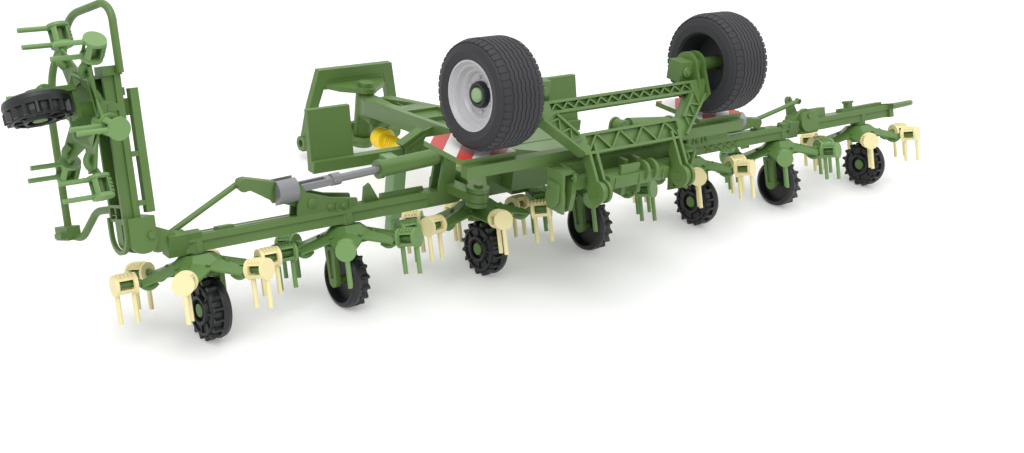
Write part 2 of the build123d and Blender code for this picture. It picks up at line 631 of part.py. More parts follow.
# Tips with hinge end, beam and guard hoop, drawn unfolded; the left one is then folded up
# columns: side, beam end past the rotor, guard's reach past the beam end
tip_table = (
    ("left", left_tip_past_rotor, 27.0),
    ("right", right_tip_past_rotor, 23.3),
)
guard_plane = Plane(origin=(hinge_x, hinge_y - guard_drop * sin(tilt) - guard_back * cos(tilt),
                            hinge_z - guard_drop * cos(tilt) + guard_back * sin(tilt)),
                    x_dir=(1, 0, 0), z_dir=(0, sin(radians(guard_tilt)), cos(radians(guard_tilt))))
for word, past_rotor, guard_reach in tip_table:
    beam_end = tip_rotor_x + past_rotor
    guard_end = beam_end + guard_reach - hinge_x
    with BuildPart() as tip:
        # Hinge plates with rounded inner ends
        for front, thick in ((-4.2, 2.1), (5.8, 5.3)):
            with BuildSketch(leaning_plane(front)):
                with Locations((hinge_x - 0.1, -3.05)):
                    RectangleRounded(13.0, 10.7, 4.9)
                with Locations((hinge_x + 3.9, -3.05)):
                    Rectangle(5.0, 10.7)
            extrude(amount=thick)
        with BuildSketch(leaning_plane(5.8)):
            with Locations((hinge_x + 6.1, -3.05)):
                Rectangle(2.4, 10.7)
        extrude(amount=12.1)
        with BuildSketch(leaning_plane(6.6)):
            with Locations((hinge_x, 0)):
                Circle(1.5)
        extrude(amount=13.7)
        # Lug of the fold linkage
        with BuildSketch(leaning_plane(5.8)):
            with BuildLine():
                Polyline((hinge_x - 4.6, -1.0), (hinge_x + 4.0, -1.0), (hinge_x - 1.0, 9.8), (hinge_x - 5.0, 8.2),
                         close=True)
            make_face()
            with Locations((hinge_x - 3.0, 9.0)):
                Circle(2.2)
            with Locations((hinge_x - 3.0, 9.0)):
                Circle(0.95, mode=Mode.SUBTRACT)
        extrude(amount=1.7)
        # Beam with two cross ribs and a long rib between them
        with BuildSketch(section_plane(hinge_x + tip_start)):
            with BuildLine():
                Polyline(*tip_profile, close=True)
            make_face()
        extrude(amount=beam_end - hinge_x - tip_start)
        middle = (lean_rear + lean_front) / 2
        for rib_x, rib in ((hinge_x + tip_start + 0.6, 1.2), (hinge_x + 12.0, 1.2), (beam_end - 0.7, 1.4)):
            with Locations(rotor_place(rib_x)):
                with Locations((0, middle, lean_bottom + tip_raise)):
                    Box(rib, lean_front - lean_rear - 2 * web_inset, lean_top - lean_bottom - 0.5,
                        align=(Align.CENTER, Align.CENTER, Align.MIN))
        with Locations(rotor_place(hinge_x + (tip_start + 12.0) / 2)):
            with Locations((0, middle, lean_bottom + tip_raise)):
                Box(12.0 - tip_start, 1.2, lean_top - lean_bottom - 0.5,
                    align=(Align.CENTER, Align.CENTER, Align.MIN))
        # Rounded rim that closes the channel's inner end
        with BuildSketch(Plane(origin=(hinge_x, hinge_y - 9.6 * sin(tilt), hinge_z - 9.6 * cos(tilt)),
                               x_dir=(1, 0, 0), z_dir=(0, sin(tilt), cos(tilt)))):
            with Locations((1.2, 2.6)):
                Circle(7.8)
            with Locations((4.4, 2.6)):
                Rectangle(6.4, 15.6)
            with Locations((1.2, 2.6)):
                Circle(6.2, mode=Mode.SUBTRACT)
            with Locations((4.9, 2.6)):
                Rectangle(7.4, 12.4, mode=Mode.SUBTRACT)
        extrude(amount=1.6)
        with Locations(rotor_place(tip_rotor_x)):
            for face in (lean_rear + web_inset / 2, lean_front - web_inset / 2):
                with Locations((0, face, lean_bottom + tip_raise)):
                    Box(2.7, web_inset, lean_top - lean_bottom - band_height + 0.2,
                        align=(Align.CENTER, Align.CENTER, Align.MIN))
            with Locations((0, 0, hub_top + play)):
                Cylinder(neck_radius, 5.2, align=(Align.CENTER, Align.CENTER, Align.MIN))
                Cylinder(spindle_radius + 0.05, 3.6, align=(Align.CENTER, Align.CENTER, Align.MIN),
                         mode=Mode.SUBTRACT)
        # End plate and guard hoop with its socket and lower bracket
        with Locations(rotor_place(beam_end + 1.2)):
            with Locations((0, lean_rear + 3.0, lean_bottom + tip_raise - 0.4)):
                Box(3.6, 7.0, lean_top - lean_bottom + 1.0, align=(Align.CENTER, Align.CENTER, Align.MIN))
        guard_path = ((10.5, 15.0), (9.5, 30.0), (-1.4, 43.2), (0.0, 53.0), (46.0, 53.0), (guard_end - 23.5, 47.7),
                      (guard_end - 3.0, 27.8), (guard_end, 0.0), (beam_end - hinge_x, 0.0))
        with BuildLine(guard_plane) as guard_line:
            FilletPolyline(*guard_path, radius=guard_bends)
        with BuildSketch(Plane(guard_line.line @ 0, z_dir=guard_line.line % 0)):
            Circle(guard_wire)
        sweep()
        with Locations(guard_plane * Location((1.0, 52.0, -1.0))):
            Box(5.4, 9.0, 6.0)
        with Locations(guard_plane * Location((0.4, 50.0, -4.8))):
            Box(2.0, 5.0, 4.0)
        if word == "left":
            # Long bar on its standoffs, with a small knob beyond
            for stand_at, across, along, low, high in (
                (31.0, 2.0, -3.0, lean_top + tip_raise - 0.3, 18.6),
                (12.4, 2.0, -3.0, lean_top + tip_raise - 0.3, 18.6),
                (48.7, 6.4, -0.2, lean_top + tip_raise - 0.3, 22.2),
                (54.6, 3.0, -1.0, lean_top + tip_raise - 0.3, 17.2),
            ):
                with Locations(rotor_place(hinge_x + stand_at)):
                    with Locations((0, along, low)):
                        Box(across, 3.0, high - low, align=(Align.CENTER, Align.CENTER, Align.MIN))
            with Locations(rotor_place(hinge_x + 32.0)):
                with Locations((0, -3.0, 18.3)):
                    Box(47.0, 3.3, 3.3, align=(Align.CENTER, Align.CENTER, Align.MIN))
        else:
            # Hinge cover, raised strip and post
            with Locations(rotor_place(hinge_x + 12.4)):
                with Locations((0, 0, lean_top + tip_raise - 0.3)):
                    Box(11.6, 5.0, 5.4, align=(Align.CENTER, Align.CENTER, Align.MIN))
            with Locations(rotor_place(beam_end - 19.0)):
                with Locations((0, 2.4, lean_top + tip_raise - 0.3)):
                    Box(36.0, 4.4, 2.2, align=(Align.CENTER, Align.CENTER, Align.MIN))
            with Locations(rotor_place(tip_rotor_x - 4.6)):
                with Locations((0, 2.4, lean_top + tip_raise + 1.6)):
                    Box(3.6, 3.6, 3.4, align=(Align.CENTER, Align.CENTER, Align.MIN))
                with Locations((0, 2.4, lean_top + tip_raise + 4.4)):
                    Box(4.8, 4.6, 1.2, align=(Align.CENTER, Align.CENTER, Align.MIN))
    if word == "left":
        save(fold_left_tip(tip.part.mirror(Plane.YZ)), "left_tip")
    else:
        save(tip.part, "right_tip")

# Centre beam with the wing sockets and pivots
with BuildPart() as centre_beam:
    with BuildSketch(Plane.YZ.offset(-centre_half)):
        with BuildLine():
            Polyline((beam_rear, beam_bottom), (beam_rear, centre_beam_top), (centre_beam_front, centre_beam_top),
                     (centre_beam_front, beam_bottom), (centre_beam_front - 2.0, beam_bottom),
                     (centre_beam_front - 2.0, beam_top), (beam_rear + 2.0, beam_top), (beam_rear + 2.0, beam_bottom),
                     close=True)
        make_face()
    extrude(amount=2 * centre_half)
    # Gearbox of the drive shaft
    with Locations((0, (centre_beam_front + gearbox_front) / 2, 27.9)):
        Box(11.0, gearbox_front - centre_beam_front, 14.0, align=(Align.CENTER, Align.CENTER, Align.MIN))
    for side in (1, -1):
        with Locations(rotor_place(side * pitch / 2)):
            with Locations((0, 0, hub_top + play)):
                Cylinder(neck_radius, 9.0, align=(Align.CENTER, Align.CENTER, Align.MIN))
                Cylinder(spindle_radius + 0.05, 3.6, align=(Align.CENTER, Align.CENTER, Align.MIN), mode=Mode.SUBTRACT)
        # Front plate of the socket
        with Locations((side * (centre_half + 4.0), centre_beam_front - 1.3, (beam_bottom + beam_top) / 2 + 1.5)):
            Box(16.0, 2.6, 10.0)
        # Pivot plates above and below the wing's eye, with the pin
        for low, thick in ((eye_low - play - clevis_plate, clevis_plate), (eye_high + play, clevis_plate)):
            with BuildSketch(Plane.XY.offset(low)):
                with BuildLine():
                    Polyline((side * (pivot_x - 1.0), pivot_y - 4.9), (side * (pivot_x + 4.9), pivot_y),
                             (side * (pivot_x + 2.0), pivot_y + 4.6), (side * (centre_half - 0.5), beam_rear + 1.0),
                             (side * (centre_half - 12.0), beam_rear + 1.0), close=True)
                make_face()
                with Locations((side * pivot_x, pivot_y)):
                    Circle(pivot_eye)
            extrude(amount=thick)
        with Locations((side * pivot_x, pivot_y, eye_low - play - clevis_plate)):
            Cylinder(pivot_pin, eye_high - eye_low + 2 * play + 2 * clevis_plate + 1.2,
                     align=(Align.CENTER, Align.CENTER, Align.MIN))
save(centre_beam.part, "centre_beam")

# Centre frame: post behind the beam, sloping deck, carriers, side plates, cross member and chassis ears
chassis_up = (0, cos(radians(chassis_slope)), sin(radians(chassis_slope)))
chassis_pivot_y = chassis_foot_y - chassis_leg * chassis_up[1]
chassis_pivot_z = chassis_foot_z - chassis_leg * chassis_up[2]
with BuildPart() as centre_frame:
    with Locations((0, beam_rear - 4.0, 39.0)):
        Box(44.0, 8.0, 17.0, align=(Align.CENTER, Align.CENTER, Align.MIN))
    with BuildSketch(Plane.YZ.offset(-25.0)):
        with BuildLine():
            Polyline((beam_rear, 54.0), (beam_rear, 57.3), (deck_rear_y, deck_rear_z + 3.0), (deck_rear_y, deck_rear_z),
                     (beam_rear - 8.0, 55.6), (beam_rear - 8.0, 54.0), close=True)
        make_face()
    extrude(amount=50.0)
    with BuildSketch(Plane.YZ.offset(-25.0)):
        with BuildLine():
            Polyline((beam_rear, 50.0), (beam_rear, 56.0), (deck_rear_y, deck_rear_z + 2.0), (deck_rear_y, deck_rear_z - 4.0),
                     close=True)
        make_face()
    extrude(amount=2.0)
    with BuildSketch(Plane.YZ.offset(23.0)):
        with BuildLine():
            Polyline((beam_rear, 50.0), (beam_rear, 56.0), (deck_rear_y, deck_rear_z + 2.0), (deck_rear_y, deck_rear_z - 4.0),
                     close=True)
        make_face()
    extrude(amount=2.0)
    # Carriers of the warning boards
    with Locations((0, deck_rear_y - 0.6, (carrier_low + carrier_high) / 2)):
        Box(2 * carrier_end, 4.0, carrier_high - carrier_low)
    # Cross box that joins deck, carriers and side plates
    with Locations((0, deck_rear_y - 3.4, 65.2)):
        Box(2 * side_plate_x + 0.4, 7.0, 6.4)
    for side in (1, -1):
        with BuildSketch(Plane.YZ.offset(side * side_plate_x)):
            with BuildLine():
                Polyline((deck_rear_y + 1.0, 62.0), (deck_rear_y + 1.0, 68.0), (-50.8, 68.4), (-60.4, 66.5),
                         (-61.0, 58.0), (-60.0, 50.0), (-53.7, 46.8), (-52.0, 58.0), close=True)
            make_face()
            with Locations((-57.0, 53.5)):
                SlotOverall(7.0, 2.4, rotation=80, mode=Mode.SUBTRACT)
        extrude(amount=side * side_plate)
    cross_y = chassis_pivot_y + 9.6
    with Locations((0, cross_y, 61.6)):
        Box(2 * side_plate_x + 0.4, 4.0, 5.2)
    for side in (1, -1):
        with BuildSketch(Plane.YZ.offset(side * (chassis_arm_x - 0.9))):
            with BuildLine():
                Polyline((cross_y, 59.2), (cross_y, 64.0), (chassis_pivot_y + 1.0, chassis_pivot_z + 3.9),
                         (chassis_pivot_y, chassis_pivot_z - 4.0), close=True)
            make_face()
            with Locations((chassis_pivot_y, chassis_pivot_z)):
                Circle(4.2)
            with Locations((chassis_pivot_y, chassis_pivot_z)):
                Circle(1.75, mode=Mode.SUBTRACT)
        extrude(amount=side * 1.8)
    # Pair of ears on the cross member and the lower clevis
    for side in (1, -1):
        with Locations((side * 3.6, cross_y, 66.0)):
            Box(2.0, 4.0, 5.0)
        with Locations((side * 4.6, cross_y - 1.0, 56.5)):
            Box(2.2, 4.6, 7.0)
save(centre_frame.part, "centre_frame")

# Warning boards on the carriers
for side, word in side_names:
    with BuildPart() as board:
        with BuildSketch(Plane.XY.offset(carrier_high)):
            with BuildLine():
                Polyline((side * board_inner, board_front_y), (side * board_inner, board_rear_y),
                         (side * board_outer, board_rear_y), (side * board_outer, board_front_y - 3.0),
                         (side * (board_outer - 3.0), board_front_y), close=True)
            make_face()
        extrude(amount=board_top - carrier_high)
    save(board.part, f"{word}_warning_board")

# Transport chassis
foot_plane = Plane(origin=(0, chassis_foot_y, chassis_foot_z), x_dir=(1, 0, 0),
                   z_dir=(0, -chassis_up[2], chassis_up[1]))
with BuildPart() as chassis:
    with BuildSketch(foot_plane.offset(chassis_depth / 2)):
        with BuildLine():
            Polyline((-29.0, 0), (29.0, 0), (48.0, 17.5), (51.0, 24.5), (-51.0, 24.5), (-48.0, 17.5), close=True)
        make_face()
        with BuildLine():
            Polyline((-29.6, chassis_low_bar), (29.6, chassis_low_bar), (39.0, 19.0), (-39.0, 19.0), close=True)
        make_face(mode=Mode.SUBTRACT)
    extrude(amount=-chassis_depth)
    # Hollow of the lower bar and the upper bar, open to the rear, leaving flanges and a web
    with BuildSketch(foot_plane.offset(chassis_depth / 2)):
        with BuildLine():
            Polyline((-chassis_low_half, 1.2), (chassis_low_half, 1.2), (chassis_low_half, chassis_low_bar - 1.2),
                     (-chassis_low_half, chassis_low_bar - 1.2), close=True)
        make_face()
        with BuildLine():
            Polyline((-41.0, 20.2), (41.0, 20.2), (41.0, 23.3), (-41.0, 23.3), close=True)
        make_face()
    extrude(amount=-(chassis_depth / 2 - 0.6), mode=Mode.SUBTRACT)
    with BuildSketch(foot_plane.offset(-chassis_depth / 2)):
        with BuildLine():
            Polyline((-chassis_low_half, 1.2), (chassis_low_half, 1.2), (chassis_low_half, chassis_low_bar - 1.2),
                     (-chassis_low_half, chassis_low_bar - 1.2), close=True)
        make_face()
    extrude(amount=chassis_depth / 2 - 0.6, mode=Mode.SUBTRACT)
    # Zigzag ribs in the lower bar's hollow
    rib_step = 2 * chassis_low_half / chassis_ribs
    for rib in range(chassis_ribs):
        start_x = -chassis_low_half + rib * rib_step
        start_up = 0.9 if rib % 2 == 0 else chassis_low_bar - 0.9
        end_up = chassis_low_bar - start_up
        with BuildSketch(foot_plane.offset(chassis_depth / 2 - 0.4)):
            with BuildLine():
                Polyline((start_x - 0.6, start_up), (start_x + 0.6, start_up), (start_x + rib_step + 0.6, end_up),
                         (start_x + rib_step - 0.6, end_up), close=True)
            make_face()
        extrude(amount=-(chassis_depth - 0.8))
    for side in (1, -1):
        for flange in (-2.6, 1.2):
            with BuildSketch(Plane.YZ.offset(side * chassis_arm_x + flange)):
                with BuildLine():
                    near = 4.0
                    Polyline((chassis_foot_y + near * chassis_up[1] + 2.4 * chassis_up[2],
                              chassis_foot_z + near * chassis_up[2] - 2.4 * chassis_up[1]),
                             (chassis_foot_y + near * chassis_up[1] - 2.4 * chassis_up[2],
                              chassis_foot_z + near * chassis_up[2] + 2.4 * chassis_up[1]),
                             (chassis_pivot_y - 2.6 * chassis_up[2], chassis_pivot_z + 2.6 * chassis_up[1]),
                             (chassis_pivot_y + 2.6 * chassis_up[2], chassis_pivot_z - 2.6 * chassis_up[1]),
                             close=True)
                make_face()
                with Locations((chassis_pivot_y, chassis_pivot_z)):
                    Circle(5.0)
            extrude(amount=1.4)
        with BuildSketch(Plane.YZ.offset(side * chassis_arm_x - 3.1)):
            with Locations((chassis_pivot_y, chassis_pivot_z)):
                Circle(1.6)
        extrude(amount=6.2)
        # Arm plates, block and axle
        for plate_x in (45.6, 50.4):
            with BuildSketch(Plane.YZ.offset(side * plate_x)):
                with BuildLine():
                    Polyline((chassis_foot_y + 15.0 * chassis_up[1] + 2.4 * chassis_up[2],
                              chassis_foot_z + 15.0 * chassis_up[2] - 2.4 * chassis_up[1]),
                             (big_wheel_y + 5.6, big_wheel_z - 3.2), (big_wheel_y - 4.6, big_wheel_z + 4.6),
                             (chassis_foot_y + 17.0 * chassis_up[1] - 2.4 * chassis_up[2],
                              chassis_foot_z + 17.0 * chassis_up[2] + 2.4 * chassis_up[1]), close=True)
                make_face()
                with Locations((big_wheel_y, big_wheel_z)):
                    Circle(6.6)
            extrude(amount=side * 1.6)
        with BuildSketch(Plane.YZ.offset(side * 38.0)):
            with Locations((big_wheel_y - 0.5, big_wheel_z - 1.0)):
                Rectangle(8.0, 9.0)
        extrude(amount=side * 13.0)
        with BuildSketch(Plane.YZ.offset(side * 45.6)):
            with Locations((big_wheel_y, big_wheel_z)):
                Circle(3.0)
        extrude(amount=side * (big_wheel_inner + big_wheel_width - 4.9 - 45.6))
        with BuildSketch(Plane.YZ.offset(side * (big_wheel_inner + big_wheel_width - 6.7))):
            with Locations((big_wheel_y, big_wheel_z)):
                Circle(4.4)
        extrude(amount=side * 1.8)
save(chassis.part, "chassis_frame")

# Big transport wheels: tyre with its black inner wheel, and the bright stepped rim
wide = big_wheel_width
dish = wide - big_wheel_dish
with BuildPart() as big_tyre:
    with BuildSketch(Plane.XY):
        with BuildLine():
            Polyline((0, big_wheel_radius - 4.5), (0.8, big_wheel_radius - 2.0), (2.6, big_wheel_radius - 0.5),
                     (5.0, big_wheel_radius), (wide - 5.1, big_wheel_radius), (wide - 2.6, big_wheel_radius - 0.5),
                     (wide - 0.8, big_wheel_radius - 2.0), (wide, big_wheel_radius - 4.5), (wide - 0.7, rim_radius),
                     (dish, 14.0), (dish, 3.2), (dish - 2.6, 3.2), (dish - 2.6, 12.2), (1.2, 13.6), (0, rim_radius),
                     close=True)
        make_face()
    revolve(axis=Axis.X)
with BuildPart() as big_rim:
    with BuildSketch(Plane.XY):
        with BuildLine():
            Polyline((wide - 0.9, 14.3), (wide - 0.9, 13.6), (wide - 2.9, 12.8), (wide - 2.9, 11.6), (wide - 5.1, 11.0),
                     (wide - 5.1, 9.6), (dish + 1.0, 8.6), (dish + 1.0, 3.2), (dish, 3.2), (dish, 13.8), close=True)
        make_face()
    revolve(axis=Axis.X)
for side, word in side_names:
    at_axle = Location((big_wheel_inner, big_wheel_y, big_wheel_z))
    save(mirrored(big_tyre.part.moved(at_axle), side), f"{word}_transport_tyre")
    save(mirrored(big_rim.part.moved(at_axle), side), f"{word}_transport_rim")

# Drawbar: tapering box whose top rises to the rear, hollow between two windows
drawbar_slope = 0.145
drawbar_front_y = swivel_y - 12.0
drawbar_top_rear = drawbar_front_top + drawbar_slope * (drawbar_front_y - beam_rear)
with BuildPart() as drawbar:
    with BuildSketch(Plane.YZ.offset(-30.0)):
        with BuildLine():
            Polyline((beam_rear, centre_beam_top), (centre_beam_front, centre_beam_top),
                     (drawbar_front_y, drawbar_front_top - drawbar_height),
                     (drawbar_front_y, drawbar_front_top), (beam_rear, drawbar_top_rear), close=True)
        make_face()
    extrude(amount=60.0)
    with BuildSketch(Plane.XY.offset(20.0)):
        with BuildLine():
            Polyline((-drawbar_front_half, drawbar_front_y), (-drawbar_rear_half, 24.0), (-drawbar_rear_half - 1.0, beam_rear),
                     (drawbar_rear_half + 1.0, beam_rear), (drawbar_rear_half, 24.0),
                     (drawbar_front_half, drawbar_front_y), close=True)
        make_face()
    extrude(amount=50.0, mode=Mode.INTERSECT)
    # Tongue and swivel tube
    with BuildSketch(Plane.XY.offset(26.0)):
        with BuildLine():
            Polyline((-drawbar_front_half, drawbar_front_y - 6.0), (drawbar_front_half, drawbar_front_y - 6.0),
                     (post_radius - 0.5, swivel_y), (-post_radius + 0.5, swivel_y), close=True)
        make_face()
    extrude(amount=10.0)
    with Locations((0, swivel_y, 14.0)):
        Cylinder(post_radius, 24.0, align=(Align.CENTER, Align.CENTER, Align.MIN))
    with Locations((0, swivel_y, 20.0)):
        Cylinder(2.65, 80.0, mode=Mode.SUBTRACT)
save(drawbar.part, "drawbar")


def drawbar_under(y):
    """Height of the drawbar's underside at a place along it."""
    fall = (centre_beam_top - drawbar_front_top + drawbar_height) / (drawbar_front_y - centre_beam_front)
    return centre_beam_top - fall * (y - centre_beam_front)


# Front boards, their cross bar and brackets
with BuildPart() as front_boards:
    with Locations((0, front_bar_y + 2.0, (front_bar_low + front_bar_high) / 2)):
        Box(2 * front_board_outer, 4.0, front_bar_high - front_bar_low)
    for side in (1, -1):
        with BuildSketch(Plane.YZ.offset(side * front_board_inner)):
            with BuildLine():
                Polyline((front_bar_y + 2.0, front_bar_low), (front_bar_y + 5.0, front_bar_low),
                         (front_board_y + 3.0, front_board_top), (front_board_y + 0.6, front_board_top),
                         (front_bar_y + 2.6, front_bar_high + 0.4), close=True)
            make_face()
        extrude(amount=side * (front_board_outer - front_board_inner))
    # Saddle up to the drawbar's sloping underside
    with BuildSketch(Plane.YZ.offset(-12.0)):
        with BuildLine():
            Polyline((front_bar_y, front_bar_high - 0.5), (front_bar_y, drawbar_under(front_bar_y)),
                     (front_bar_y + 4.0, drawbar_under(front_bar_y + 4.0)),
                     (front_bar_y + 4.0, front_bar_high - 0.5), close=True)
        make_face()
    extrude(amount=24.0)
save(front_boards.part, "front_boards")

# Stand leg on the left of the front bar
with BuildPart() as stand:
    with Locations((stand_x, stand_y, 0)):
        Box(5.0, 5.0, 9.0, align=(Align.CENTER, Align.CENTER, Align.MIN))
    with Locations((stand_x, stand_y, 8.0)):
        Box(7.0, 7.0, 36.0, align=(Align.CENTER, Align.CENTER, Align.MIN))
    with Locations((stand_x, stand_y + 4.9, front_bar_low)):
        Box(7.0, 2 * (front_bar_y - stand_y - 4.9), 5.0, align=(Align.CENTER, Align.CENTER, Align.MIN))
save(stand.part, "stand_leg")

# Yellow drive shaft with its guard ball, from the gearbox towards the tractor
shaft_front = Vector(0, 124.6, 17.5)
shaft_rear = Vector(0, gearbox_front, 30.2)
shaft_along = Plane(origin=shaft_rear, x_dir=(1, 0, 0), z_dir=shaft_front - shaft_rear)
with BuildPart() as shaft:
    with BuildSketch(shaft_along):
        Circle(shaft_radius)
    extrude(amount=(shaft_front - shaft_rear).length)
    with Locations(shaft_front):
        Sphere(5.8)
    with Locations((0, gearbox_front - 2.0, shaft_rear.Z)):
        Box(8.0, 4.0, 8.0, mode=Mode.SUBTRACT)
save(shaft.part, "drive_shaft")

# Headstock, turning on the drawbar's swivel tube
with BuildPart() as headstock:
    with BuildSketch(Plane.XZ.offset(-headstock_y - 2.0)):
        with BuildLine():
            Polyline((-headstock_low_half, headstock_low), (-27.7, 30.0), (-headstock_top_half, headstock_top),
                     (headstock_top_half, headstock_top), (27.7, 30.0), (headstock_low_half, headstock_low),
                     (headstock_low_half - 6.0, headstock_low), (22.0, 30.0), (headstock_top_half - 5.0, headstock_top - 5.4),
                     (-headstock_top_half + 5.0, headstock_top - 5.4), (-22.0, 30.0),
                     (-headstock_low_half + 6.0, headstock_low), close=True)
        make_face()
    extrude(amount=4.0)
    for side in (1, -1):
        with BuildSketch(Plane.YZ.offset(side * (headstock_low_half - boss_inset) - boss_length / 2)):
            with Locations((headstock_y, pin_z)):
                Circle(boss_radius)
        extrude(amount=boss_length)
    # Upper swivel plate and lower plate
    for low, thick in ((38.4, 2.6), (11.4, 2.3)):
        with BuildSketch(Plane.XY.offset(low)):
            with BuildLine():
                Polyline((-20.0, headstock_y + 1.5), (-14.0, swivel_y + 3.0), (-5.0, swivel_y - 3.5), (5.0, swivel_y - 3.5),
                         (14.0, swivel_y + 3.0), (20.0, headstock_y + 1.5), close=True)
            make_face()
            with Locations((0, swivel_y)):
                Circle(6.2)
        extrude(amount=thick)
    with BuildSketch(Plane.XZ.offset(-headstock_y - 1.8)):
        with Locations((0, 14.5)):
            Rectangle(2 * headstock_low_half - 9.0, 5.0)
        with Locations((0, 41.5)):
            Rectangle(2 * headstock_top_half - 8.0, 7.0)
    extrude(amount=3.6)
    with Locations((0, swivel_y, 8.4)):
        Cylinder(2.5, 33.6, align=(Align.CENTER, Align.CENTER, Align.MIN))
    with Locations((0, swivel_y, 41.0)):
        Cylinder(4.0, 2.4, align=(Align.CENTER, Align.CENTER, Align.MIN))
    with Locations((0, swivel_y, 8.0)):
        Cylinder(5.6, 3.5, align=(Align.CENTER, Align.CENTER, Align.MIN))
    # Coupling bores through both feet
    with BuildSketch(Plane.YZ.offset(-headstock_low_half - 2.0)):
        with Locations((headstock_y, pin_z)):
            Circle(bore_radius)
    extrude(amount=2 * headstock_low_half + 4.0, mode=Mode.SUBTRACT)
save(headstock.part, "headstock")
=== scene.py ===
"""Looks of a toy hay tedder: finishes, small trim, floor, light and camera."""

import json
import logging
import math
from dataclasses import dataclass
from enum import Enum

import bmesh
import bpy
from mathutils import Matrix, Vector

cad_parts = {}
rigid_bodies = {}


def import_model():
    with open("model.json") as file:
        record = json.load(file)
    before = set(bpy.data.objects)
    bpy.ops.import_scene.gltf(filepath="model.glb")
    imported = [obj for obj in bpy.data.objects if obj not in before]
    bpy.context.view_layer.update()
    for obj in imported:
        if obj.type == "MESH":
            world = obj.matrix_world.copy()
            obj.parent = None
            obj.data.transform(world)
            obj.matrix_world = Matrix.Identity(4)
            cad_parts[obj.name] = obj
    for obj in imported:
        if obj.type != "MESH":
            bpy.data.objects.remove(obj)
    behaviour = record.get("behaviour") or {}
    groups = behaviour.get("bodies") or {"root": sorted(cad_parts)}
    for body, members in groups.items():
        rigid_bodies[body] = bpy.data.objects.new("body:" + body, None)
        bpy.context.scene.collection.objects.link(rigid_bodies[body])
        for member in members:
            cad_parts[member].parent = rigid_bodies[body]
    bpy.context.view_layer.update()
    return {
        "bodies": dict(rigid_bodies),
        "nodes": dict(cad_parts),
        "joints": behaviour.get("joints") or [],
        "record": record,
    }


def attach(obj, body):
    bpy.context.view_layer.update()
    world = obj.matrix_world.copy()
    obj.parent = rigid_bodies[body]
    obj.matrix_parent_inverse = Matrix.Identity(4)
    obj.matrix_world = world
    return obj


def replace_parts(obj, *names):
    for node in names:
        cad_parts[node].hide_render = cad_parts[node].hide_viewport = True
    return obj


log = logging.getLogger("hay_tedder")

Pair = tuple[float, float]
Triple = tuple[float, float, float]
Colour = tuple[float, float, float, float]

MM = 0.001
HITCH = Vector((0.0, 154.0, 9.0))
FLOOR_LEVEL = -HITCH.z * MM
LEAN_SIN = math.sin(math.radians(19.0))
LEAN_COS = math.cos(math.radians(19.0))
ROTOR_PITCH = 69.0
ROTOR_Y = -2.0
ROTOR_Z = 27.0
CREAM_ROTORS = "aceg"
SMOOTH_ANGLE = 35.0
MERGE_DISTANCE = 0.001
SIDES = (1, -1)
RIGHT = Vector((1.0, 0.0, 0.0))
AHEAD = Vector((0.0, 1.0, 0.0))
UP = Vector((0.0, 0.0, 1.0))


def spot(x: float, y: float, z: float) -> Vector:
    """Turn a place in machine millimetres into the row frame.

    Args:
        x: Distance right of the middle plane.
        y: Distance forward of the beam's datum.
        z: Height above the floor.

    Returns:
        The same place in metres from the hitch.
    """
    return (Vector((x, y, z)) - HITCH) * MM


def linear(code: str) -> Colour:
    """Turn a hex colour into linear values.

    Args:
        code: Six hex digits with a leading hash.

    Returns:
        Linear red, green, blue and an alpha of one.
    """
    channels = [int(code[i : i + 2], 16) / 255 for i in (1, 3, 5)]
    values = [c / 12.92 if c <= 0.04045 else ((c + 0.055) / 1.055) ** 2.4 for c in channels]
    return (values[0], values[1], values[2], 1.0)


def stand(name: str, data: bpy.types.ID) -> bpy.types.Object:
    """Put a new object into the scene.

    Args:
        name: The object's name.
        data: Its mesh, lamp or camera.

    Returns:
        The object.
    """
    made = bpy.data.objects.new(name, data)
    bpy.context.scene.collection.objects.link(made)
    return made


